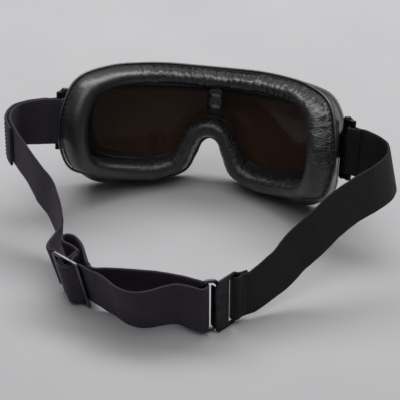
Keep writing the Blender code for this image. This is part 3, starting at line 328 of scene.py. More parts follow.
def frame_section(index):
    """The frame's wall, front face and pane seat at one station."""
    rim = RIM[index]
    opening = OPENING[index]
    drawn = rim.copy()
    drawn.y -= BROW_DRAW * max(0.0, rim.y / FRAME_HEIGHT)
    seat = moved_towards(opening, rim, SEAT_WIDTH)
    wall = moved_towards(rim, opening, RIM_WALL)
    rounded = moved_towards(drawn, opening, EDGE_ROUND)
    front = front_depth(opening.x)
    return (
        at_depth(rim, rim_back(rim.x)),
        at_depth(drawn, front_depth(rim.x) + EDGE_ROUND),
        at_depth(rounded, front_depth(rounded.x)),
        at_depth(opening, front),
        at_depth(opening, front + LIP_THICKNESS),
        at_depth(seat, front_depth(seat.x) + LIP_THICKNESS),
        at_depth(seat, front_depth(seat.x) + LIP_THICKNESS + SEAT_DEPTH),
        at_depth(wall, front_depth(wall.x) + LIP_THICKNESS + SEAT_DEPTH),
        at_depth(wall, rim_back(rim.x)))


def pad_axes(index):
    """Base point, direction across the cushion, direction to the face, and width."""
    outer = PAD_OUTER[index]
    inner = PAD_INNER[index]
    tilt = PAD_TILT_SHARE * asin(outer.x / WRAP_RADIUS)
    start = at_depth(outer, wrap_depth(outer.x))
    end = at_depth(inner, start.y + (inner.x - outer.x) * tan(tilt))
    face = Vector((-sin(tilt), cos(tilt), 0.0))
    across = end - start
    return start, across.normalized(), face, across.length


def pin_place():
    """The left hinge pin's middle line, as across and depth."""
    across = FRAME_HALF_WIDTH + 2 * FIT_GAP + KNUCKLE_RADIUS
    return across, rim_back(FRAME_HALF_WIDTH) + HINGE_BEHIND_RIM


def hinge_height():
    """Whole height of the lug's two knuckles and the bracket's between them."""
    return KNUCKLE_MIDDLE + 2 * (KNUCKLE_END + FIT_GAP)


def lengths(points, closed):
    """How far along its path each point lies."""
    travelled = [0.0]
    for before, after in zip(points, points[1:] + points[:1] if closed else points[1:]):
        travelled.append(travelled[-1] + (after - before).length)
    return travelled


def marks(travelled, goals):
    """For each length along a path, the point before it and the share of the way to the next."""
    place = 0
    for goal in goals:
        while place < len(travelled) - 2 and travelled[place + 1] < goal:
            place += 1
        yield place, (goal - travelled[place]) / (travelled[place + 1] - travelled[place])


def place_along(points, leans, spacing):
    """Stations of a strap's middle line with its lean, about one spacing apart."""
    fine = open_curve(points, FINE_STEPS)
    fine_leans = open_curve([Vector((lean, 0.0)) for lean in leans], FINE_STEPS)
    travelled = lengths(fine, False)
    count = max(2, ceil(travelled[-1] / spacing))
    goals = [travelled[-1] * index / count for index in range(count + 1)]
    return [(fine[place].lerp(fine[place + 1], share),
             fine_leans[place].lerp(fine_leans[place + 1], share).x)
            for place, share in marks(travelled, goals)]


def strap_frames(stations, first_run=None, last_run=None):
    """Middle, flat normal and width direction of the strap at each station."""
    frames = []
    for index, (point, lean) in enumerate(stations):
        before = stations[max(0, index - 1)][0]
        after = stations[min(len(stations) - 1, index + 1)][0]
        run = (after - before).normalized()
        if index == 0 and first_run:
            run = first_run
        if index == len(stations) - 1 and last_run:
            run = last_run
        side = run.cross(Vector((0.0, 0.0, 1.0))).normalized()
        upright = side.cross(run)
        width = upright * cos(lean) + side * sin(lean)
        frames.append((point, run.cross(width), width))
    return frames


def arc(middle, radius, start, end, steps):
    """Points on a circle in plan, from one angle to another."""
    return [Vector((middle[0] + radius * cos(start + (end - start) * step / steps),
                    middle[1] + radius * sin(start + (end - start) * step / steps), 0.0))
            for step in range(steps + 1)]


def layer_step():
    """Between the middle lines of two layers of strap that lie on each other."""
    return STRAP_THICKNESS + FIT_GAP


def bar_loop_points(bar_reach, tail, side):
    """Strap round a bar at the origin, both ends going out along +X. The last end lies on the
    given side, and the first on the other."""
    radius = bar_reach + FIT_GAP + STRAP_THICKNESS / 2
    half = layer_step() / 2
    near = radius * LOOP_NECK_SHARE
    closing = near + (tail - near) * LOOP_CLOSE_SHARE
    spread = half * LOOP_SPREAD_SHARE
    points = [Vector((tail, -half, 0.0)), Vector((closing, -half, 0.0)), Vector((near, -spread, 0.0))]
    points += arc((0.0, 0.0), radius, LOOP_KNEE - pi / 2, -3 * pi / 2 - LOOP_KNEE, ROUND_STEPS)
    points += [Vector((near, spread, 0.0)), Vector((closing, half, 0.0)), Vector((tail, half, 0.0))]
    return [Vector((point.x, point.y * side, 0.0)) for point in points]


def front_matrix():
    """The front as it leans on its lower rim."""
    return Matrix.Translation((0.0, FRONT_PLACE, front_lift())) @ Matrix.Rotation(LEAN, 4, "X")


def front_lift():
    """Height that sets the rim's lowest corner on the surface."""
    corners = [point for index in STATIONS for point in frame_section(index)]
    return -min(point.z * cos(LEAN) + point.y * sin(LEAN) for point in corners)


def lug_turn(side):
    return LUG_LEFT_TURN if side > 0 else pi - LUG_RIGHT_TURN


def lug_matrix(side):
    across, depth = pin_place()
    pin = Matrix.Translation((side * across, depth, HINGE_HEIGHT))
    return front_matrix() @ pin @ Matrix.Rotation(lug_turn(side), 4, "Z")


def loop_turn(side):
    """From a lug's own direction to that of the strap that leaves it."""
    return (STRAP_LEAVE_TURN if side > 0 else pi - STRAP_LEAVE_TURN) - lug_turn(side)


def lug_loop_matrix(side):
    """At a lug's strap bar, +X along the strap."""
    bar = lug_matrix(side) @ Matrix.Translation((LUG_REACH, 0.0, 0.0))
    return bar @ Matrix.Rotation(loop_turn(side), 4, "Z")


def laid(across_share, reach_share, height):
    """A place in the head loop."""
    return Vector((across_share * LOOP_HALF_WIDTH, reach_share * LOOP_REACH, height))


def upright_matrix(place, turn, lean=0.0):
    """A standing frame at a place, turned in plan and leaning towards its own +Y."""
    return (Matrix.Translation(place) @ Matrix.Rotation(turn, 4, "Z")
            @ Matrix.Rotation(-lean, 4, "X"))


def slide_matrix():
    """At the slide's middle, +X along the tape towards the left lug."""
    height = (SLIDE_HEIGHT * cos(SLIDE_LEAN) + SLIDE_THICKNESS * sin(SLIDE_LEAN)) / 2
    return upright_matrix(laid(*SLIDE_SHARES, height + REST_GAP), -SLIDE_TURN, SLIDE_LEAN)


def ring_place():
    return laid(*RING_SHARES, CLASP_HEIGHT / 2 + REST_GAP)


def fold_matrix():
    """At the middle of the fold that holds the ring."""
    return upright_matrix(ring_place(), -FOLD_TURN)


def ring_matrix():
    """At the bar in the strap's fold, +X towards the other bar."""
    return upright_matrix(ring_place(), pi + RING_TURN)


def hook_matrix():
    """At the hook's strap bar, +X towards the ring and +Y outwards."""
    ring_bar = ring_matrix() @ Vector((RING_LENGTH, 0.0, 0.0))
    turn = Matrix.Rotation(HOOK_TURN, 4, "Z")
    offset = turn @ Vector((HOOK_LENGTH, -ring_bar_drop(), 0.0))
    return upright_matrix(ring_bar - offset, HOOK_TURN)


def ring_bar_drop():
    """From the hook's sheet to the ring's bar behind it, middle to middle."""
    return HOOK_SHEET / 2 + HOOK_CLEARANCE + CLASP_BAR_RADIUS


def clasp_loop_matrix():
    """At the hook's strap bar, +X along the strap that leaves it."""
    return upright_matrix(hook_matrix().translation, pi + CLASP_STRAP_TURN)


def direction(matrix, axis):
    return (matrix.to_3x3() @ Vector(axis)).normalized()


def lean_like(matrix, run):
    """The lean that keeps a strap's width along a frame's own upright."""
    upright = direction(matrix, (0.0, 0.0, 1.0))
    side = run.cross(Vector((0.0, 0.0, 1.0))).normalized()
    return atan2(upright.dot(side), upright.dot(side.cross(run)))


def route(start, start_run, end, end_run, shares, start_lean, end_lean):
    """A strap's stations from one fitting to another. Each share gives a place along the
    straight line between them, a place to its side, a share of the drop, and a lean."""
    line = end - start
    flat_line = Vector((line.x, line.y, 0.0))
    aside = Vector((line.y, -line.x, 0.0))
    lead = STRAP_WIDTH * LEAD_SHARE
    points = [start, start + start_run * lead]
    leans = [start_lean, start_lean]
    for along, sideways, drop, lean in shares:
        height = Vector((0.0, 0.0, line.z * drop))
        points.append(start + flat_line * along + aside * sideways + height)
        leans.append(radians(lean))
    points += [end - end_run * lead, end]
    leans += [end_lean, end_lean]
    return strap_frames(place_along(points, leans, STRAP_STEP), start_run, end_run)


def side_route(side, end, end_run, shares, end_lean):
    """From a lug's loop towards the back of the head."""
    loop = lug_loop_matrix(side)
    start = loop @ Vector((LUG_LOOP_TAIL, layer_step() / 2, 0.0))
    start_run = direction(loop, (1.0, 0.0, 0.0))
    return route(start, start_run, end, end_run, shares, lean_like(loop, start_run), end_lean)


def slide_bar_reach():
    return hypot(SLIDE_BAR, SLIDE_THICKNESS) / 2


def end_bar_offset():
    """From the slide's middle plane to the strap that passes inside an end bar."""
    return slide_bar_reach() + FIT_GAP + STRAP_THICKNESS / 2


def middle_bar_offset():
    """From the middle bar to the strap that passes outside the loop round it."""
    return end_bar_offset() + layer_step()


def weave_points():
    """Inside the left end bar, outside the middle bar, inside the right end bar."""
    bar = (SLIDE_LENGTH - SLIDE_BAR) / 2
    low = end_bar_offset()
    high = middle_bar_offset()
    slope = asin((low + high) / bar)
    rise = pi / 2 - slope
    points = [Vector((WEAVE_HALF_LENGTH, -low, 0.0))]
    points += arc((bar, 0.0), low, -pi / 2, -pi / 2 - slope, 4)
    points += arc((0.0, 0.0), high, rise, pi - rise, 6)
    points += arc((-bar, 0.0), low, slope - pi / 2, -pi / 2, 4)
    return points + [Vector((-WEAVE_HALF_LENGTH, -low, 0.0))]


# Materials

class Shader:
    """A Principled material with small helpers for its nodes. Scales are waves to the metre."""

    def __init__(self, name, colour, roughness, metallic=0.0, specular=0.5):
        self.data = bpy.data.materials.new(name)
        self.data.use_nodes = True
        self.nodes = self.data.node_tree.nodes
        self.links = self.data.node_tree.links
        self.shader = self.nodes["Principled BSDF"]
        self.set("Base Color", (*colour, 1.0))
        self.set("Roughness", roughness)
        self.set("Metallic", metallic)
        self.set("Specular IOR Level", specular)
        self.coords = self.nodes.new("ShaderNodeTexCoord")

    def set(self, socket, value):
        self.shader.inputs[socket].default_value = value

    def new(self, kind, **values):
        node = self.nodes.new(kind)
        for key, value in values.items():
            setattr(node, key, value)
        return node

    def join(self, source, target):
        self.links.new(source, target)

    def noise(self, scale, detail=4.0, roughness=0.55, space="Object", stretch=(1.0, 1.0, 1.0)):
        node = self.new("ShaderNodeTexNoise")
        node.inputs["Scale"].default_value = scale
        node.inputs["Detail"].default_value = detail
        node.inputs["Roughness"].default_value = roughness
        self.join(self.mapped(space, stretch), node.inputs["Vector"])
        return node.outputs["Fac"]

    def cells(self, scale):
        node = self.new("ShaderNodeTexVoronoi")
        node.inputs["Scale"].default_value = scale
        self.join(self.mapped("Object", (1.0, 1.0, 1.0)), node.inputs["Vector"])
        return node.outputs["Distance"]

    def mapped(self, space, stretch):
        node = self.new("ShaderNodeMapping")
        node.inputs["Scale"].default_value = stretch
        self.join(self.coords.outputs[space], node.inputs["Vector"])
        return node.outputs["Vector"]

    def attribute(self, name):
        return self.new("ShaderNodeAttribute", attribute_name=name).outputs["Fac"]

    def math(self, operation, *values):
        node = self.new("ShaderNodeMath", operation=operation)
        for index, value in enumerate(values):
            if isinstance(value, float):
                node.inputs[index].default_value = value
            else:
                self.join(value, node.inputs[index])
        return node.outputs[0]

    def added(self, first, second):
        return self.math("ADD", first, second)

    def times(self, first, second):
        return self.math("MULTIPLY", first, second)

    def wave(self, place, pitch):
        return self.math("SINE", self.times(place, 2 * pi / pitch))

    def span(self, value, low, high, to_low=0.0, to_high=1.0):
        node = self.new("ShaderNodeMapRange")
        sizes = {"From Min": low, "From Max": high, "To Min": to_low, "To Max": to_high}
        for socket, number in sizes.items():
            node.inputs[socket].default_value = number
        self.join(value, node.inputs["Value"])
        return node.outputs["Result"]

    def tones(self, value, pair):
        """Base colour between a darker and a lighter tone."""
        node = self.new("ShaderNodeMix", data_type="RGBA")
        node.inputs["A"].default_value = (*pair[0], 1.0)
        node.inputs["B"].default_value = (*pair[1], 1.0)
        self.join(value, node.inputs["Factor"])
        self.use("Base Color", node.outputs["Result"])

    def use(self, socket, output):
        self.join(output, self.shader.inputs[socket])

    def bump(self, *layers):
        """Bumps on bumps: pairs of a height and its depth in metres."""
        before = None
        for height, depth in layers:
            node = self.new("ShaderNodeBump")
            node.inputs["Distance"].default_value = depth
            self.join(height, node.inputs["Height"])
            if before:
                self.join(before, node.inputs["Normal"])
            before = node.outputs["Normal"]
        self.join(before, self.shader.inputs["Normal"])


# The darker and the lighter tone of each finish

LEATHER_TONES = (0.0055, 0.0052, 0.006), (0.011, 0.0102, 0.012)
# The next two tones are painted light and shade: the left side's tape is painted lighter and more purple for
# the light that falls on it from the left, and the right side's tape is painted darker as shade.
LEFT_TAPE_PAINTED_LIGHT_TONES = (0.0115, 0.0078, 0.0155), (0.042, 0.0315, 0.053)
RIGHT_TAPE_PAINTED_SHADE_TONES = (0.002, 0.0018, 0.0025), (0.0082, 0.0074, 0.0098)
FRAME_TONES = (0.0085, 0.008, 0.009), (0.016, 0.015, 0.0165)
PANE_TONES = (0.044, 0.024, 0.016), (0.062, 0.034, 0.023)
RUBBER_TONES = (0.009, 0.009, 0.009), (0.02, 0.02, 0.021)
THREAD_TONES = (0.005, 0.0045, 0.006), (0.02, 0.018, 0.023)
FLOOR_TONES = (0.39, 0.385, 0.395), (0.41, 0.405, 0.415)
BRIGHT_TONES = (0.5, 0.5, 0.52), (0.78, 0.78, 0.8)
NICKEL_TONES = (0.05, 0.049, 0.054), (0.12, 0.119, 0.127)
STRIP_TONES = (0.3, 0.29, 0.32), (0.5, 0.48, 0.52)
GUNMETAL_TONES = (0.016, 0.016, 0.018), (0.05, 0.05, 0.055)


def leather_look(name, grain, gloss, creased=False):
    """Coated black leather: pebble grain, a patchy shine, and creases that run in from its seams."""
    look = Shader(name, (0.008, 0.0075, 0.0085), gloss, specular=0.6)
    pebbles = look.cells(1350.0)
    creases = look.noise(330.0, 5.0, 0.62)
    patches = look.noise(60.0, 3.0)
    look.tones(look.span(patches, 0.35, 0.7), LEATHER_TONES)
    look.use("Roughness", look.span(look.noise(110.0, 5.0), 0.3, 0.72, gloss - 0.08, gloss + 0.14))
    look.set("Coat Weight", 0.6)
    look.set("Coat Roughness", 0.32)
    layers = [(pebbles, 0.00007 * grain), (creases, 0.00014 * grain), (patches, 0.0004)]
    if creased:
        layers.append((drawn_creases(look), 0.0006))
    look.bump(*layers)
    return look.data


def drawn_creases(look):
    """Creases square to the outline, deepest at both seams and where the cover is drawn in."""
    fine = look.noise(1.0, 2.0, 0.5, "UV", (640.0, 240.0, 1.0))
    coarse = look.noise(1.0, 2.0, 0.5, "UV", (300.0, 130.0, 1.0))
    seam = look.attribute("seam")
    drawn = look.attribute("drawn")
    edge = look.span(look.added(seam, look.span(coarse, 0.3, 0.7, -0.3, 0.3)), -0.05, 0.5)
    valleys = [look.span(look.math("ABSOLUTE", look.math("SUBTRACT", value, 0.5)), 0.0, width)
               for value, width in ((fine, 0.13), (coarse, 0.1))]
    return look.times(look.times(look.added(*valleys), edge), drawn)


WEBBING_SHINE = 0.68


def webbing_look(name, tones, rib, sheen):
    """Woven tape: ribs across, a slanting twill in them, fuzz and uneven dye."""
    look = Shader(name, tones[0], WEBBING_SHINE, specular=0.3)
    split = look.new("ShaderNodeSeparateXYZ")
    look.join(look.coords.outputs["UV"], split.inputs["Vector"])
    along, across = split.outputs["X"], split.outputs["Y"]
    waver = look.times(look.noise(420.0, 2.0), 0.00035)
    slant = look.added(look.times(along, 0.8), across)
    weave = look.times(look.wave(look.added(along, waver), rib), 0.5)
    weave = look.added(weave, look.times(look.wave(slant, rib * 1.35), 0.6))
    weave = look.added(weave, look.times(look.wave(across, rib * 0.62), 0.28))
    fuzz = look.noise(2600.0, 3.0, 0.7)
    dye = look.noise(70.0)
    tone = look.added(look.span(weave, -1.2, 1.2, 0.0, 0.45), look.span(dye, 0.3, 0.75, 0.0, 0.35))
    look.tones(look.added(tone, look.span(fuzz, 0.35, 0.7, 0.0, 0.25)), tones)
    look.set("Sheen Weight", sheen)
    look.set("Sheen Roughness", 0.45)
    look.set("Sheen Tint", (0.75, 0.7, 0.8, 1.0))
    look.use("Roughness", look.span(fuzz, 0.3, 0.7, WEBBING_SHINE - 0.06, WEBBING_SHINE + 0.14))
    look.bump((weave, 0.00013), (fuzz, 0.00008))
    return look.data


def plastic_look():
    """Moulded black plastic, a little hazy and rubbed."""
    look = Shader("frame_moulding", (0.011, 0.0105, 0.0115), 0.3)
    haze = look.noise(40.0, 3.0)
    rubs = look.noise(1400.0, 4.0, 0.7, stretch=(0.16, 1.0, 1.0))
    look.tones(look.span(haze, 0.3, 0.7), FRAME_TONES)
    look.use("Roughness", look.span(rubs, 0.35, 0.75, 0.24, 0.5))
    look.bump((haze, 0.0004), (rubs, 0.00002))
    return look.data


def tint_look():
    """A dark smoke pane that lets a little of what lies behind it through."""
    look = Shader("pane_tint", (0.05, 0.028, 0.019), 0.03, specular=0.3)
    smears = look.noise(32.0, 5.0, 0.6)
    look.use("Roughness", look.span(smears, 0.42, 0.8, 0.015, 0.1))
    look.tones(look.span(smears, 0.3, 0.7), PANE_TONES)
    look.set("Transmission Weight", 0.35)
    look.set("IOR", 1.49)
    look.bump((smears, 0.00005))
    return look.data


def rubber_look():
    """Dull black rubber with a fine grain."""
    look = Shader("gasket_rubber_look", (0.012, 0.012, 0.012), 0.7)
    grain = look.noise(1800.0, 3.0)
    look.tones(grain, RUBBER_TONES)
    look.use("Roughness", look.span(grain, 0.3, 0.7, 0.6, 0.82))
    look.bump((grain, 0.00006))
    return look.data


def metal_look(name, tones, roughness, brush=1.0, wear=0.0):
    """Plated or bare steel with fine drawn lines and rubbed, uneven polish."""
    look = Shader(name, tones[1], roughness, 1.0)
    lines = look.noise(2400.0, 4.0, 0.6, stretch=(1.0, 1.0, 0.07))
    cloud = look.noise(210.0, 5.0, 0.6)
    look.tones(look.span(cloud, 0.3, 0.72), tones)
    look.use("Roughness", look.added(look.span(lines, 0.3, 0.7, roughness * 0.75, roughness * 1.25),
                                     look.span(cloud, 0.45, 0.75, 0.0, wear)))
    look.bump((lines, 0.000012 * brush), (cloud, 0.00003))
    return look.data


def thread_look():
    """Twisted sewing thread."""
    look = Shader("sewing_thread", (0.02, 0.018, 0.022), 0.55)
    twist = look.noise(3800.0, 2.0, stretch=(1.0, 1.0, 3.0))
    look.tones(twist, THREAD_TONES)
    look.set("Sheen Weight", 0.3)
    look.bump((twist, 0.00008))
    return look.data


def floor_look():
    """Plain pale paper."""
    look = Shader("floor_paper", (0.4, 0.395, 0.405), 0.75)
    look.tones(look.span(look.noise(9.0, 2.0), 0.3, 0.7), FLOOR_TONES)
    look.bump((look.noise(900.0, 3.0), 0.00005))
    return look.data


LEATHER = leather_look("pad_leather_look", 1.0, 0.44, True)
VINYL = leather_look("skirt_vinyl_look", 0.7, 0.42)
PIPING = leather_look("welt_piping_look", 0.5, 0.38)
# The left tape's lighter tones are painted light and the right tape's darker tones are painted shade.
WEBBING_LEFT_PAINTED_LIGHT = webbing_look("strap_webbing_left_painted_light", LEFT_TAPE_PAINTED_LIGHT_TONES, 0.0011, 0.1)
WEBBING_RIGHT_PAINTED_SHADE = webbing_look("strap_webbing_right_painted_shade", RIGHT_TAPE_PAINTED_SHADE_TONES, 0.0012, 0.04)
PLASTIC = plastic_look()
TINT = tint_look()
RUBBER = rubber_look()
CHROME = metal_look("bright_steel_look", BRIGHT_TONES, 0.16)
NICKEL = metal_look("black_nickel_look", NICKEL_TONES, 0.2, wear=0.1)
STRIP = metal_look("divider_steel_look", STRIP_TONES, 0.3, 2.0, 0.1)
GUNMETAL = metal_look("dark_steel_look", GUNMETAL_TONES, 0.36, 1.5, 0.15)
THREAD = thread_look()


# Making pieces

PLACE = Matrix.Translation((CENTRE_ACROSS, -CENTRE_BACK, 0.0))
FRONT = PLACE @ front_matrix()
ROOT_BODY = "goggle_frame"


def in_front(point):
    """A point of the front's own axes, in the scene."""
    return FRONT @ point


def new_piece(name, mesh, surface, body, sharp):
    """Turns a bmesh into a finished piece that rides on a body."""
    bmesh.ops.recalc_face_normals(mesh, faces=mesh.faces)
    data = bpy.data.meshes.new(name)
    mesh.to_mesh(data)
    mesh.free()
    data.shade_smooth()
    data.set_sharp_from_angle(angle=sharp)
    data.materials.append(surface)
    piece = bpy.data.objects.new(name, data)
    bpy.context.scene.collection.objects.link(piece)
    if body:
        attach(piece, body)
    return piece


def sheet_into(mesh, rows, ring):
    """Adds closed rows of points as faces, with lengths along and across as their UV map."""
    layer = mesh.loops.layers.uv.verify()
    grid = [[mesh.verts.new(point) for point in row] for row in rows]
    along = lengths([row[len(row) // 2] for row in rows], ring)
    across = lengths(list(rows[0]), True)
    for i in range(len(rows) if ring else len(rows) - 1):
        j = (i + 1) % len(rows)
        for k in range(len(rows[0])):
            m = (k + 1) % len(rows[0])
            face = mesh.faces.new((grid[i][k], grid[i][m], grid[j][m], grid[j][k]))
            corners = ((along[i], across[k]), (along[i], across[k + 1]),
                       (along[i + 1], across[k + 1]), (along[i + 1], across[k]))
            for loop, place in zip(face.loops, corners):
                loop[layer].uv = place
    if not ring:
        mesh.faces.new(grid[0])
        mesh.faces.new(grid[-1][::-1])


def swept(name, rows, surface, body, ring=False, sharp=radians(38)):
    """A closed skin through the rows: a ring of them, or a length with both ends closed."""
    mesh = bmesh.new()
    sheet_into(mesh, rows, ring)
    return new_piece(name, mesh, surface, body, sharp)


def rounded_profile(corners, radius, steps):
    """A closed outline with its corners rounded by an arc-like blend."""
    result = []
    for index, corner in enumerate(corners):
        before = corners[index - 1] - corner
        after = corners[(index + 1) % len(corners)] - corner
        reach = min(radius, before.length * CORNER_LIMIT, after.length * CORNER_LIMIT)
        start = corner + before.normalized() * reach
        end = corner + after.normalized() * reach
        for step in range(steps + 1):
            share = step / steps
            result.append(start.lerp(corner, share).lerp(corner.lerp(end, share), share))
    return result


def only(thing):
    """Selects one object and makes it the active one."""
    bpy.ops.object.select_all(action="DESELECT")
    thing.select_set(True)
    bpy.context.view_layer.objects.active = thing


def named(name):
    """Names the primitive that was just added and settles its size and place."""
    thing = bpy.context.object
    thing.name = name
    thing.data.name = name
    bpy.ops.object.transform_apply(location=True, rotation=True, scale=True)
    return thing


def block(name, size, middle=(0.0, 0.0, 0.0)):
    """A box, to cut, join or shape."""
    bpy.ops.mesh.primitive_cube_add(size=1.0, location=middle, scale=size)
    return named(name)


def rod(name, radius, low, high, middle=(0.0, 0.0), sides=ROD_SIDES):
    """An upright cylinder between two heights."""
    bpy.ops.mesh.primitive_cylinder_add(vertices=sides, radius=radius, depth=high - low,
                                        location=(*middle, (low + high) / 2))
    return named(name)


def pick(thing, kind, wanted):
    """Goes to edit mode with the edges or faces that the test accepts, by middle and direction."""
    only(thing)
    bpy.ops.object.mode_set(mode="EDIT")
    bpy.ops.mesh.select_mode(type=kind)
    bpy.ops.mesh.select_all(action="DESELECT")
    shape = bmesh.from_edit_mesh(thing.data)
    if kind == "FACE":
        for face in shape.faces:
            face.select_set(wanted(face.calc_center_median(), face.normal))
    else:
        for edge in shape.edges:
            start, end = (vertex.co for vertex in edge.verts)
            edge.select_set(wanted((start + end) / 2, (end - start).normalized()))
    bmesh.update_edit_mesh(thing.data)


def rounded_edges(thing, width, segments, wanted):
    """Rounds the edges that the test accepts."""
    pick(thing, "EDGE", wanted)
    bpy.ops.mesh.bevel(offset=width, segments=segments, affect="EDGES")
    bpy.ops.object.mode_set(mode="OBJECT")


def corners_rounded(thing, radius, segments=8):
    """Rounds the corners of a plate that lies across X and Z."""
    rounded_edges(thing, radius, segments, lambda middle, run: abs(run.y) > ALONG)
    return thing


def grown(thing, wanted, reach, share=1.0, centre=None):
    """Extrudes the chosen face by a reach, and resizes its new end."""
    pick(thing, "FACE", wanted)
    bpy.ops.mesh.extrude_region_move(TRANSFORM_OT_translate={"value": reach})
    if share != 1.0:
        bpy.ops.transform.resize(value=(share, share, share), center_override=centre)
    bpy.ops.object.mode_set(mode="OBJECT")


def headed(thing, end, radius, head_radius, head_height):
    """Gives the end of a rod a flat-bottomed, domed head."""
    up = 1 if end > 0 else -1
    near = FIT_GAP / 10
    grown(thing, lambda middle, normal: normal.z * up > ALONG and abs(middle.z - end) < near,
          (0.0, 0.0, 0.0), head_radius / radius, (0.0, 0.0, end))
    grown(thing, lambda middle, normal: normal.z * up > ALONG and abs(middle.z - end) < near
          and middle.xy.length < radius / 2, (0.0, 0.0, up * head_height))
    rim = end + up * head_height
    rounded_edges(thing, head_height * DOME_SHARE, 6,
                  lambda middle, run: abs(middle.z - rim) < near and middle.xy.length > head_radius / 2)


def combined(thing, other, operation):
    """Joins another body to this one, or cuts it away."""
    only(thing)
    step = thing.modifiers.new(other.name, "BOOLEAN")
    step.operation = operation
    step.solver = "EXACT"
    step.object = other
    bpy.ops.object.modifier_apply(modifier=step.name)
    bpy.data.objects.remove(other, do_unlink=True)


def edge_round(thing, width, segments, angle):
    """A modifier that rounds the edges sharper than the angle."""
    edge = thing.modifiers.new("edge", "BEVEL")
    edge.width = width
    edge.segments = segments
    edge.limit_method = "ANGLE"
    edge.angle_limit = radians(angle)
    return edge.name


def softened(thing, width, segments=3):
    """Takes the sharpness off every edge."""
    only(thing)
    bpy.ops.object.modifier_apply(modifier=edge_round(thing, width, segments, 35))


def placed(thing, matrix, surface, slot, body, *nodes):
    """Puts a piece where it belongs and hands it to its body."""
    only(thing)
    thing.matrix_world = matrix
    bpy.ops.object.transform_apply(location=True, rotation=True, scale=True)
    bpy.ops.object.mode_set(mode="EDIT")
    bpy.ops.mesh.select_all(action="SELECT")
    bpy.ops.mesh.normals_make_consistent(inside=False)
    bpy.ops.object.mode_set(mode="OBJECT")
    bpy.ops.object.shade_smooth_by_angle(angle=radians(32))
    thing.data.materials.clear()
    thing.data.materials.append(surface)
    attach(thing, body)
    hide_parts(*nodes)


# Thread

STITCH_LENGTH = 0.0019
STITCH_PITCH = 0.0026
PAD_STITCH_PITCH = 0.0034
STITCH_RADIUS = 0.00028
STITCH_SIDES = 6
STITCH_STEPS = 5
STITCH_BOW = 1.4            # its middle above its ends, of its radius
STITCH_SINK = 0.9           # its ends below the cloth, of its radius
STITCH_END = 0.45           # its ends' thickness, of its middle's
SEAM_LIFT = 0.0001          # of a seam over the surface that it is sewn to
SEAM_INSET = 0.0022         # from the tape's edge
SEAM_STEPS = 12
LUG_SEAMS = (5,)            # the stations of a tape that have a row of stitches
TAIL_SEAMS = (-3, -9)
CLASP_SEAMS = (6, -7)
SLIDE_SEAMS = (5, -6)
PAD_SEAM_HEIGHT = 0.0022    # of the cushion's seam over its base


def stitches(name, lines, body, pitch=STITCH_PITCH):
    """Rows of stitches. Each line is a list of (point, outward normal)."""
    mesh = bmesh.new()
    for line in lines:
        points = [point for point, _ in line]
        travelled = lengths(points, False)
        count = max(1, int(travelled[-1] / pitch))
        goals = [travelled[-1] * (index + 0.5) / count for index in range(count)]
        for place, share in marks(travelled, goals):
            middle = points[place].lerp(points[place + 1], share)
            normal = line[place][1].lerp(line[place + 1][1], share).normalized()
            add_stitch(mesh, middle, (points[place + 1] - points[place]).normalized(), normal)
    return new_piece(name, mesh, THREAD, body, radians(80))


def add_stitch(mesh, middle, run, normal):
    """One stitch: a short bowed thread that dips into the cloth at both ends."""
    side = run.cross(normal).normalized()
    turns = [2 * pi * turn / STITCH_SIDES for turn in range(STITCH_SIDES)]
    rows = []
    for step in range(STITCH_STEPS + 1):
        share = 2 * step / STITCH_STEPS - 1
        bow = sqrt(max(0.0, 1 - share * share))
        lift = STITCH_RADIUS * (STITCH_BOW * bow - STITCH_SINK)
        centre = middle + run * (share * STITCH_LENGTH / 2) + normal * lift
        size = STITCH_RADIUS * (STITCH_END + (1 - STITCH_END) * bow)
        rows.append([centre + side * (size * cos(turn)) + normal * (size * sin(turn)) for turn in turns])
    sheet_into(mesh, rows, False)


# Cushion, welt and skirt

CREASE_PITCH = 0.0021       # between fine creases
CREASE_DEPTH = 0.0005
CREASE_BAND = 0.3           # how much of the noise about zero is a crease
DRAW_SHARE = 0.42           # wide creases, of the fine ones' number
DRAW_DEPTH = 0.0007
DRAW_BAND = 0.26
CREASE_STRAY = 0.0015       # along the seam
STRAY_WAVES = 260.0         # to the metre
EDGE_RAMP = 0.45            # over which a crease runs out, of half the width
GATHER_PITCH = 0.0042
GATHER_PULL = 0.0014
GATHER_BAND = 0.4
GATHER_SLANT = 0.004        # along the seam, over the whole width
BROW_START = 0.75           # where the brow begins, of the cushion's height
BROW_RAMP = 0.2
SAG_DEPTH = 0.0006
SAG_WAVES = 60.0            # to the metre
SAG_LEAST = 0.35            # where the cover is smooth
LEFT_SMOOTH = 0.9           # how much smoother the cover is at the left temple
LEFT_START = 0.3            # where that begins, of the half width
LEFT_RAMP = 0.35
RIGHT_SMOOTH = 0.35
RIGHT_START = 0.75
RIGHT_RAMP = 0.2


def outline_lengths():
    return lengths([at_depth(point, wrap_depth(point.x)) for point in PAD_OUTER], True)


def ramp(value, start, width):
    """From 0 at the start to 1 after the width."""
    return min(1.0, max(0.0, (value - start) / width))


def furrow(value, band):
    """A line along the zeros of a noise, 1 in its middle and 0 past the band."""
    return max(0.0, band - abs(value)) / band


def drawn_in(index):
    """How much the cover is drawn together: least at the left temple, most at the brow and nose."""
    share = PAD_OUTER[index].x / PAD_HALF_WIDTH
    left = LEFT_SMOOTH * ramp(share, LEFT_START, LEFT_RAMP)
    return 1 - left - RIGHT_SMOOTH * ramp(-share, RIGHT_START, RIGHT_RAMP)


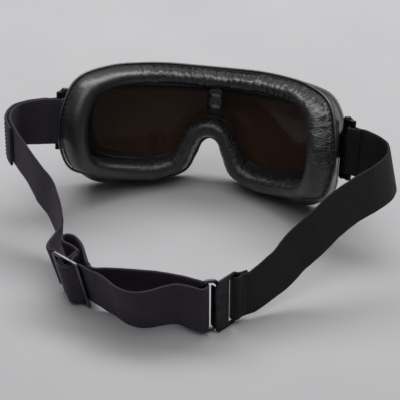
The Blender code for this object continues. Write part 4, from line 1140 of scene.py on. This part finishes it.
def crease_depth(index, travelled, share):
    """Depth of the creases that run in from the seams, at a share of the way across."""
    drawn = drawn_in(index)
    stray = CREASE_STRAY * noise.noise(Vector((travelled * STRAY_WAVES, share * 8.0, 5.0)))
    place = (travelled + stray) / CREASE_PITCH
    fine = noise.noise(Vector((place, 3.5 * share, 1.7)))
    broad = noise.noise(Vector((place * DRAW_SHARE, 2.2 * share, 9.1)))
    reach = 0.5 + 0.45 * noise.noise(Vector((place * 0.5, 4.4, 2.0)))
    aside = abs(2 * share - 1)
    edge = drawn * ramp(aside, 0.4 * reach, EDGE_RAMP)
    creases = CREASE_DEPTH * furrow(fine, CREASE_BAND) + DRAW_DEPTH * furrow(broad, DRAW_BAND)
    gather = noise.noise(Vector(((travelled + GATHER_SLANT * share) / GATHER_PITCH, 0.7 * share, 6.3)))
    brow = drawn * ramp(PAD_OUTER[index].y / PAD_HEIGHT, BROW_START, BROW_RAMP)
    pull = GATHER_PULL * brow * furrow(gather, GATHER_BAND) * min(1.0, 0.45 + aside)
    sag = SAG_DEPTH * noise.noise(Vector((travelled * SAG_WAVES, share * 2.2, 3.3)))
    return pull + edge * creases - sag * (SAG_LEAST + (1 - SAG_LEAST) * drawn)


def cushion_rows():
    """The arched cover at each station, closed by a flat base."""
    travelled = outline_lengths()
    rows = []
    for index in STATIONS:
        start, across, face, width = pad_axes(index)
        row = []
        for step in range(CROWN_STEPS + 1):
            turn = pi * step / CROWN_STEPS
            side = cos(turn)
            bow = abs(side) ** CROWN_WIDTH_SHARE * (1 if side >= 0 else -1)
            rise = max(0.0, sin(turn)) ** CROWN_HEIGHT_SHARE
            depth = crease_depth(index, travelled[index], step / CROWN_STEPS) * min(1.0, 4 * rise + 0.15)
            outward = across * -cos(turn) + face * sin(turn)
            point = start + across * ((1 - bow) * width / 2) + face * (rise * PAD_THICKNESS + FIT_GAP)
            row.append(point - outward * depth)
        base = face * (FIT_GAP / 2)
        row.append(start + across * (width - COVER_THICKNESS) + base)
        row.append(start + across * (width / 2) + base)
        row.append(start + across * COVER_THICKNESS + base)
        rows.append([in_front(point) for point in row])
    return rows


def make_cushion():
    rows = cushion_rows()
    pad = swept("pad_cover", rows, LEATHER, ROOT_BODY, True, radians(60))
    drawn = pad.data.attributes.new("drawn", "FLOAT", "POINT")
    seam_near = pad.data.attributes.new("seam", "FLOAT", "POINT")
    for vertex in range(len(pad.data.vertices)):
        index, step = divmod(vertex, len(rows[0]))
        drawn.data[vertex].value = drawn_in(index)
        seam_near.data[vertex].value = abs(2 * min(1.0, step / CROWN_STEPS) - 1)
    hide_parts("face_pad", "pad_foam")


def make_welt():
    """The piping in the cushion's seam, and the stitches beside it."""
    turns = [2 * pi * step / WELT_SIDES for step in range(WELT_SIDES)]
    rows = []
    seam = []
    travelled = outline_lengths()
    for index in STATIONS:
        start, across, face, _ = pad_axes(index)
        middle = start - across * (WELT_RADIUS + FIT_GAP) + face * FIT_GAP
        swell = noise.noise(Vector((travelled[index] * WELT_WAVES, 0.0, 8.0)))
        radius = WELT_RADIUS * (1 + WELT_SWELL * swell)
        rows.append([in_front(middle + across * (cos(turn) * radius) + face * (sin(turn) * radius))
                     for turn in turns])
        foot = start - across * SEAM_LIFT + face * PAD_SEAM_HEIGHT
        seam.append((in_front(foot), direction(FRONT, -across)))
    welt = swept("pad_welt_piping", rows, PIPING, ROOT_BODY, True)
    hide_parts("pad_welt")
    stitches("pad_seam_thread", [seam + seam[:1]], ROOT_BODY, PAD_STITCH_PITCH)


def skirt_row(index):
    """Inner and outer wall between the frame and the cushion, with a soft inward fold."""
    start, across, face, width = pad_axes(index)
    rim = RIM[index]
    opening = OPENING[index]
    tilt = abs(asin(face.x))
    under = FIT_GAP + SKIRT_THICKNESS
    corner = SKIRT_THICKNESS / cos(tilt) + under * tan(tilt)
    front = rim_back(rim.x) + FIT_GAP
    outer_front = at_depth(moved_towards(rim, opening, SKIRT_INSET), front)
    outer_back = start - face * FIT_GAP
    inner_front = at_depth(moved_towards(rim, opening, SKIRT_INSET + SKIRT_THICKNESS), front)
    inner_back = start + across * corner - face * under
    far_edge = start + across * width
    return [outer_front, outer_back, far_edge - face * FIT_GAP,
            far_edge - face * under, inner_back, inner_front]


def make_skirt():
    rows = [[in_front(point) for point in rounded_profile(skirt_row(index), SKIRT_ROUND, 2)]
            for index in STATIONS]
    skirt = swept("skirt_wall", rows, VINYL, ROOT_BODY, True)
    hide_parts("side_skirt")


# Frame

def make_frame():
    rows = [[in_front(point) for point in rounded_profile(frame_section(index), FRAME_ROUND, 3)]
            for index in STATIONS]
    rim = swept("frame_moulding", rows, PLASTIC, ROOT_BODY, True, radians(50))
    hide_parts("lens_frame")


def dress(node, surface, width=0.0):
    """Gives a carried-over solid its material, and its edges a small round."""
    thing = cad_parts[node]
    thing.data.materials.clear()
    thing.data.materials.append(surface)
    if width:
        edge_round(thing, width, 2, 40)


def dress_front():
    """Panes, gaskets and the bar keep their solids' shape."""
    for word in ("left", "right"):
        dress("lens_" + word, TINT)
        dress("lens_gasket_" + word, RUBBER)
    for node, surface in (("bar", STRIP), ("strip", STRIP), ("clip_upper", CHROME), ("clip_lower", CHROME)):
        dress("divider_" + node, surface, DIVIDER_EDGE)


# Hinges

def make_bracket(word, side, pin):
    """The plate on the frame's side, drawn out into the hinge's middle knuckle."""
    across, depth = pin_place()
    inner = FRAME_HALF_WIDTH + FIT_GAP - across
    back = rim_back(FRAME_HALF_WIDTH) - depth
    plate = block("bracket_plate_" + word, (BRACKET_THICKNESS, BRACKET_LENGTH, KNUCKLE_MIDDLE),
                  (side * (inner + BRACKET_THICKNESS / 2), back - BRACKET_LENGTH / 2, 0.0))
    grown(plate, lambda middle, normal: normal.y > ALONG,
          (0.0, KNUCKLE_RADIUS * sin(KNUCKLE_START) - back, 0.0))
    pick(plate, "EDGE", lambda middle, run: abs(run.z) > ALONG and middle.y > back + FIT_GAP
         and side * middle.x > inner + BRACKET_THICKNESS / 2)
    flare = KNUCKLE_RADIUS * cos(KNUCKLE_START) - inner - BRACKET_THICKNESS
    bpy.ops.transform.translate(value=(side * flare, 0.0, 0.0))
    bpy.ops.object.mode_set(mode="OBJECT")
    half = KNUCKLE_MIDDLE / 2
    combined(plate, rod("knuckle", KNUCKLE_RADIUS, -half, half), "UNION")
    combined(plate, rod("bore", PIN_RADIUS + FIT_GAP, -2 * half, 2 * half), "DIFFERENCE")
    seats = []
    for rank, height in (("lower", -RIVET_SPACING / 2), ("upper", RIVET_SPACING / 2)):
        seat = (Matrix.Translation((side * inner, back - BRACKET_LENGTH / 2, height))
                @ Matrix.Rotation(side * pi / 2, 4, "Y"))
        hole = rod("rivet_hole", RIVET_RADIUS / 2 + FIT_GAP, -BRACKET_THICKNESS, 2 * BRACKET_THICKNESS,
                   sides=24)
        hole.data.transform(seat)
        combined(plate, hole, "DIFFERENCE")
        seats.append((rank, seat))
    softened(plate, BRACKET_EDGE)
    placed(plate, pin, GUNMETAL, "dark_steel", ROOT_BODY, "hinge_bracket_" + word)
    for rank, seat in seats:
        make_rivet(f"{word}_{rank}", pin @ seat)


def make_rivet(words, seat):
    """A domed rivet, its foot on the plate's inner face."""
    shank = RIVET_RADIUS / 2
    top = BRACKET_THICKNESS + FIT_GAP / 3
    rivet = rod("rivet_head_" + words, shank, 0.0, top, sides=HEAD_SIDES)
    headed(rivet, top, shank, RIVET_RADIUS, RIVET_HEAD)
    placed(rivet, seat, CHROME, "bright_steel", ROOT_BODY, "rivet_" + words)


def make_pin(word, pin):
    """The hinge's pin, with a head at both ends."""
    top = hinge_height() / 2 + FIT_GAP
    shaft = rod("pin_shaft_" + word, PIN_RADIUS, -top, top, sides=HEAD_SIDES)
    for end in (-top, top):
        headed(shaft, end, PIN_RADIUS, PIN_HEAD_RADIUS, PIN_HEAD_HEIGHT)
    placed(shaft, pin, NICKEL, "bright_steel", ROOT_BODY, "hinge_pin_" + word)


def make_lug(word, matrix, body):
    """Two knuckles, two arms and the bar that carries the strap."""
    half = hinge_height() / 2
    inner = KNUCKLE_MIDDLE / 2 + FIT_GAP
    near, far = KNUCKLE_RADIUS * LUG_ARM_SHARES[0], LUG_BAR_RADIUS * LUG_ARM_SHARES[1]
    bar_end = half - LUG_ARM_HEIGHT / 2
    lug = rod("lug_ring_" + word, LUG_BAR_RADIUS, -bar_end, bar_end, (LUG_REACH, 0.0))
    for low, high, base in ((-half, -inner, -half), (inner, half, half - LUG_ARM_HEIGHT)):
        combined(lug, rod("knuckle", KNUCKLE_RADIUS, low, high), "UNION")
        arm = block("arm", (LUG_REACH, 2 * near, LUG_ARM_HEIGHT - 2 * ARM_STEP),
                    (LUG_REACH / 2, 0.0, base + LUG_ARM_HEIGHT / 2))
        pick(arm, "FACE", lambda middle, normal: normal.x > ALONG)
        bpy.ops.transform.resize(value=(1.0, far / near, 1.0))
        bpy.ops.object.mode_set(mode="OBJECT")
        eye = rod("arm_eye", far * ARM_EYE_SHARE, base, base + LUG_ARM_HEIGHT, (LUG_REACH, 0.0))
        combined(arm, eye, "UNION")
        combined(lug, arm, "UNION")
    combined(lug, rod("lug_bore", PIN_RADIUS + FIT_GAP, -2 * half, 2 * half), "DIFFERENCE")
    softened(lug, LUG_EDGE)
    placed(lug, matrix, GUNMETAL, "dark_steel", body, "lug_" + word)


# Strap

def moved_frames(frames, matrix):
    turn = matrix.to_3x3()
    return [(matrix @ point, (turn @ flat).normalized(), (turn @ width).normalized())
            for point, flat, width in frames]


def ribbon_section(point, flat, width, offset, travelled):
    """Round-edged cross section of the tape, with slightly uneven selvedges."""
    radius = STRAP_THICKNESS / 2
    ripple = SELVEDGE_RIPPLE * noise.noise(Vector((travelled * SELVEDGE_WAVES, 2.0, 0.0)))
    reach = STRAP_WIDTH / 2 - radius + ripple
    middle = point + flat * offset
    section = []
    for step in range(WIDTH_STEPS + 1):
        section.append(middle + width * (reach * (2 * step / WIDTH_STEPS - 1)) - flat * radius)
    for step in range(1, EDGE_STEPS):
        turn = pi * step / EDGE_STEPS
        section.append(middle + width * (reach + radius * sin(turn)) - flat * (radius * cos(turn)))
    for step in range(WIDTH_STEPS + 1):
        section.append(middle + width * (reach * (1 - 2 * step / WIDTH_STEPS)) + flat * radius)
    for step in range(1, EDGE_STEPS):
        turn = pi * step / EDGE_STEPS
        section.append(middle - width * (reach + radius * sin(turn)) + flat * (radius * cos(turn)))
    return section


def ribbon(name, frames, surface, body, *nodes, offset=0.0):
    """A length of webbing through world frames, standing for the named nodes."""
    travelled = lengths([point for point, _, _ in frames], False)
    rows = [ribbon_section(*station, offset, place) for station, place in zip(frames, travelled)]
    piece = swept(name, rows, surface, body, sharp=radians(70))
    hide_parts(*nodes)
    return piece


def stretch(frames, start, end):
    """The stations between two shares of a route."""
    last = len(frames) - 1
    return frames[round(start * last):round(end * last) + 1]


def seam_lines(frames, seams, offset=0.0):
    """Rows of stitches straight across the tape's outer face, at the given stations."""
    lines = []
    reach = STRAP_WIDTH / 2 - SEAM_INSET
    for point, flat, width in [frames[seam] for seam in seams]:
        surface = point + flat * (offset + STRAP_THICKNESS / 2 + SEAM_LIFT)
        lines.append([(surface + width * (reach * (2 * step / SEAM_STEPS - 1)), flat)
                      for step in range(SEAM_STEPS + 1)])
    return lines


def loop_frames(points, matrix):
    """Fine stations of an upright length of tape near a fitting."""
    frames = strap_frames(place_along(points, [0.0] * len(points), STRAP_STEP / 2))
    return moved_frames(frames, PLACE @ matrix)


def bridged(piece):
    """Bakes a piece's place into its mesh."""
    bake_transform(piece)


def side_loop(word, side, surface):
    """The tape's loop round a lug's bar."""
    loop = loop_frames(bar_loop_points(LUG_BAR_RADIUS, LUG_LOOP_TAIL, 1), lug_loop_matrix(side))
    ribbon("strap_loop_" + word, loop, surface, "lug_" + word, f"strap_{word}_lug_loop")
    return loop


def side_bend(word, frames, surface):
    """The first stretch from a lug."""
    bend = stretch(frames, 0.0, BEND_SHARE)
    piece = ribbon("strap_bend_" + word, bend, surface, None, f"strap_{word}_bend")
    bridged(piece)
    return bend


def make_left_strap():
    """From the left lug to the slide, with the sewn end that lies on it."""
    slide = slide_matrix()
    end = slide @ Vector((WEAVE_HALF_LENGTH, -end_bar_offset(), 0.0))
    frames = side_route(1, end, direction(slide, (-1.0, 0.0, 0.0)), LEFT_ROUTE_SHARES, SLIDE_LEAN)
    frames = moved_frames(frames, PLACE)
    loop = side_loop("left", 1, WEBBING_LEFT_PAINTED_LIGHT)
    bend = side_bend("left", frames, WEBBING_LEFT_PAINTED_LIGHT)
    layer = STRAP_THICKNESS + SEWN_GAP
    sewn = stretch(frames, 0.0, SEWN_END_SHARE)
    piece = ribbon("strap_tail_left", sewn, WEBBING_LEFT_PAINTED_LIGHT, None, "strap_left_sewn_end", offset=layer)
    bridged(piece)
    run = stretch(frames, BEND_SHARE, RUN_END_SHARE)
    ribbon("strap_run_left", run, WEBBING_LEFT_PAINTED_LIGHT, ROOT_BODY, "strap_left_run")
    run_end = stretch(frames, RUN_END_SHARE, 1.0)
    piece = ribbon("strap_run_end_left", run_end, WEBBING_LEFT_PAINTED_LIGHT, None, "strap_left_run_end")
    bridged(piece)
    thread = stitches("tail_thread_left", seam_lines(sewn, TAIL_SEAMS, layer), None)
    bridged(thread)
    stitches("loop_thread_left", seam_lines(loop, LUG_SEAMS), "lug_left")


def make_right_strap():
    """From the right lug to the clasp's hook."""
    clasp = clasp_loop_matrix()
    end = clasp @ Vector((CLASP_LOOP_TAIL, -layer_step() / 2, 0.0))
    frames = side_route(-1, end, direction(clasp, (-1.0, 0.0, 0.0)), RIGHT_ROUTE_SHARES, 0.0)
    frames = moved_frames(frames, PLACE)
    loop = side_loop("right", -1, WEBBING_RIGHT_PAINTED_SHADE)
    stitches("loop_thread_right", seam_lines(loop, LUG_SEAMS), "lug_right")
    side_bend("right", frames, WEBBING_RIGHT_PAINTED_SHADE)
    ribbon("strap_run_right", stretch(frames, BEND_SHARE, 1.0), WEBBING_RIGHT_PAINTED_SHADE, ROOT_BODY,
           "strap_right_run_upper", "strap_right_run_lower")
    points = bar_loop_points(hypot(HOOK_BAR, HOOK_SHEET) / 2, CLASP_LOOP_TAIL, -1)
    loop = loop_frames(points, clasp)
    ribbon("strap_clasp_loop", loop, WEBBING_RIGHT_PAINTED_SHADE, ROOT_BODY, "strap_right_clasp_loop")
    stitches("clasp_thread", seam_lines(loop, CLASP_SEAMS), ROOT_BODY)


def slack_point(index):
    across, depth = SLACK_SHARES[index]
    return Vector((across * SLACK_REACH, depth * SLACK_DEPTH, 0.0))


def make_slide_tape():
    """The tape that weaves through the slide, its loop round the middle bar and the spare length."""
    slide = slide_matrix()
    weave = loop_frames(weave_points(), slide)
    ribbon("strap_weave", weave, WEBBING_LEFT_PAINTED_LIGHT, "strap_slide", "strap_left_weave")
    points = bar_loop_points(slide_bar_reach(), SLIDE_LOOP_TAIL, 1)
    loop = loop_frames([Vector((point.y, -point.x, 0.0)) for point in points], slide)
    ribbon("strap_slide_loop", loop, WEBBING_LEFT_PAINTED_LIGHT, "strap_slide", "strap_left_bar_loop")
    stitches("slide_thread", seam_lines(loop, SLIDE_SEAMS), "strap_slide")
    start = Vector((layer_step() / 2, -SLIDE_LOOP_TAIL, 0.0))
    points = [start, start + Vector((0.0, -STRAP_WIDTH * LEAD_SHARE / 2, 0.0))]
    points += [slack_point(index) for index in range(len(SLACK_SHARES))]
    slack = loop_frames(points, slide)
    piece = ribbon("strap_slack", slack, WEBBING_LEFT_PAINTED_LIGHT, None, "strap_left_slack_loop")
    bridged(piece)


def make_fold_tape():
    """The two layers between the slide and the ring, and the fold that holds the ring."""
    slide = slide_matrix()
    fold = fold_matrix()
    start = slide @ Vector((-WEAVE_HALF_LENGTH, -end_bar_offset(), 0.0))
    end = fold @ Vector((FOLD_LEG, FOLD_RADIUS, 0.0))
    front = route(start, direction(slide, (-1.0, 0.0, 0.0)), end, direction(fold, (-1.0, 0.0, 0.0)),
                  FRONT_ROUTE_SHARES, SLIDE_LEAN, 0.0)
    front = moved_frames(front, PLACE)
    near = stretch(front, 0.0, FRONT_START_SHARE)
    piece = ribbon("strap_front_start", near, WEBBING_LEFT_PAINTED_LIGHT, None, "strap_left_front_start")
    bridged(piece)
    ribbon("strap_front_layer", stretch(front, FRONT_START_SHARE, 1.0), WEBBING_LEFT_PAINTED_LIGHT, ROOT_BODY,
           "strap_left_front_layer")
    start = fold @ Vector((FOLD_LEG, -FOLD_RADIUS, 0.0))
    run = direction(slide, slack_point(-2) - slack_point(-1))
    back = route(start, direction(fold, (1.0, 0.0, 0.0)), slide @ slack_point(-1), run,
                 BACK_ROUTE_SHARES, 0.0, -SLIDE_LEAN)
    ribbon("strap_back_layer", moved_frames(back, PLACE), WEBBING_LEFT_PAINTED_LIGHT, ROOT_BODY, "strap_left_back_layer")
    points = [Vector((FOLD_LEG, FOLD_RADIUS, 0.0))]
    points += arc((0.0, 0.0), FOLD_RADIUS, pi / 2, 3 * pi / 2, ROUND_STEPS)
    points += [Vector((FOLD_LEG, -FOLD_RADIUS, 0.0))]
    ribbon("strap_ring_fold", loop_frames(points, fold), WEBBING_LEFT_PAINTED_LIGHT, ROOT_BODY, "strap_left_ring_fold")


# Slide and clasp

def make_slide():
    """A flat plate with two slots and the bar between them."""
    plate = corners_rounded(block("slide_plate", (SLIDE_LENGTH, SLIDE_THICKNESS, SLIDE_HEIGHT)), SLIDE_CORNER)
    slot = SLIDE_LENGTH / 2 - SLIDE_BAR * 1.5
    for side in (1, -1):
        hole = block("slot", (slot, 2 * SLIDE_THICKNESS, SLIDE_SLOT_HEIGHT),
                     (side * (SLIDE_BAR + slot) / 2, 0.0, 0.0))
        combined(plate, corners_rounded(hole, SLOT_CORNER, 3), "DIFFERENCE")
    softened(plate, SLIDE_EDGE, 4)
    placed(plate, PLACE @ slide_matrix(), NICKEL, "bright_steel", "strap_slide", "slide")


def make_ring():
    """Round wire bent into a ring with four rounded corners."""
    wire_height = CLASP_HEIGHT - 2 * CLASP_BAR_RADIUS
    bpy.ops.mesh.primitive_plane_add(size=1.0, location=(RING_LENGTH / 2, 0.0, 0.0),
                                     rotation=(pi / 2, 0.0, 0.0))
    bpy.context.object.scale = (RING_LENGTH, wire_height, 1.0)
    ring = named("ring_wire")
    bpy.ops.object.mode_set(mode="EDIT")
    bpy.ops.mesh.select_all(action="SELECT")
    bpy.ops.mesh.bevel(offset=RING_BEND, segments=10, affect="VERTICES")
    bpy.ops.mesh.select_all(action="SELECT")
    bpy.ops.mesh.delete(type="ONLY_FACE")
    bpy.ops.object.mode_set(mode="OBJECT")
    bpy.ops.object.convert(target="CURVE")
    ring.data.bevel_depth = CLASP_BAR_RADIUS
    ring.data.bevel_resolution = 6
    bpy.ops.object.convert(target="MESH")
    placed(ring, PLACE @ ring_matrix(), NICKEL, "bright_steel", "clasp_ring", "clasp_ring")


def make_hook():
    """A plate with a window for the strap and a lip that catches the ring."""
    lip_inner = HOOK_LENGTH + CLASP_BAR_RADIUS + HOOK_LIP_ROOM
    length = lip_inner + HOOK_SHEET + HOOK_BAR / 2
    hook = block("hook_plate", (length, HOOK_SHEET, CLASP_HEIGHT), ((length - HOOK_BAR) / 2, 0.0, 0.0))
    corners_rounded(hook, HOOK_CORNER)
    depth = HOOK_LIP + HOOK_SHEET / 2
    lip_height = CLASP_HEIGHT - 2 * HOOK_CORNER - HOOK_SHEET
    lip = block("lip", (HOOK_SHEET, depth, lip_height), (lip_inner + HOOK_SHEET / 2, -depth / 2, 0.0))
    combined(hook, lip, "UNION")
    window = block("window", (HOOK_WINDOW, 4 * HOOK_SHEET, CLASP_HEIGHT - 2 * HOOK_RAIL),
                   ((HOOK_BAR + HOOK_WINDOW) / 2, 0.0, 0.0))
    combined(hook, corners_rounded(window, SLOT_CORNER, 3), "DIFFERENCE")
    softened(hook, HOOK_EDGE)
    placed(hook, PLACE @ hook_matrix(), GUNMETAL, "dark_steel", "clasp_hook", "clasp_hook")


def make_pieces():
    """Every piece, front first."""
    make_cushion()
    make_welt()
    make_skirt()
    make_frame()
    dress_front()
    across, depth = pin_place()
    for side, word in ((1, "left"), (-1, "right")):
        pin = FRONT @ Matrix.Translation((side * across, depth, HINGE_HEIGHT))
        make_bracket(word, side, pin)
        make_pin(word, pin)
        make_lug(word, PLACE @ lug_matrix(side), "lug_" + word)
    make_left_strap()
    make_right_strap()
    make_slide_tape()
    make_fold_tape()
    make_slide()
    make_ring()
    make_hook()


make_pieces()


# Camera, floor and lights

CAMERA_YAW = radians(11.84)
CAMERA_RISE = radians(32.93)
CAMERA_PLACE = (-0.1335, 0.6098, 0.4340)
CAMERA_LENS = 108.45
FLOOR_REACH = 3.0
KEY_PLACE = (0.0, -0.6, 1.05)
KEY_TARGET = (0.0, 0.0, 0.04)
KEY_SIZE = (1.9, 0.45)
KEY_POWER = 17.0
OVERHEAD_STRENGTH = 1.35
WORLD_COLOUR = (0.5, 0.5, 0.505, 1.0)
WORLD_STRENGTH = 0.2


def make_camera():
    data = bpy.data.cameras.new("camera")
    data.sensor_width = 36.0
    data.lens = CAMERA_LENS
    camera = bpy.data.objects.new("camera", data)
    bpy.context.scene.collection.objects.link(camera)
    back = Vector((-sin(CAMERA_YAW) * cos(CAMERA_RISE), cos(CAMERA_YAW) * cos(CAMERA_RISE), sin(CAMERA_RISE)))
    across = Vector((0.0, 0.0, 1.0)).cross(back).normalized()
    turn = Matrix((across, back.cross(across), back)).transposed()
    camera.matrix_world = Matrix.Translation(CAMERA_PLACE) @ turn.to_4x4()
    bpy.context.scene.camera = camera


def make_floor():
    data = bpy.data.meshes.new("floor")
    reach = FLOOR_REACH
    corners = [(-reach, -reach, 0.0), (reach, -reach, 0.0), (reach, reach, 0.0), (-reach, reach, 0.0)]
    data.from_pydata(corners, [], [(0, 1, 2, 3)])
    data.materials.append(floor_look())
    floor = bpy.data.objects.new("floor", data)
    bpy.context.scene.collection.objects.link(floor)


def lamp(name, kind, energy):
    data = bpy.data.lights.new(name, kind)
    data.energy = energy
    thing = bpy.data.objects.new(name, data)
    bpy.context.scene.collection.objects.link(thing)
    return thing


def make_light():
    """A wide lamp above and behind, a broad overhead light and an even world."""
    key = lamp("key", "AREA", KEY_POWER)
    key.data.shape = "RECTANGLE"
    key.data.size, key.data.size_y = KEY_SIZE
    key.location = KEY_PLACE
    key.rotation_euler = (Vector(KEY_TARGET) - Vector(KEY_PLACE)).to_track_quat("-Z", "Y").to_euler()
    overhead = lamp("overhead", "SUN", OVERHEAD_STRENGTH)
    overhead.data.angle = radians(60)
    overhead.rotation_euler = (-radians(14), 0.0, 0.0)
    world = bpy.data.worlds.new("studio")
    world.use_nodes = True
    background = world.node_tree.nodes["Background"]
    background.inputs["Color"].default_value = WORLD_COLOUR
    background.inputs["Strength"].default_value = WORLD_STRENGTH
    bpy.context.scene.world = world
    bpy.context.scene.view_settings.view_transform = "Standard"


make_camera()
make_floor()
make_light()

bpy.context.view_layer.update()
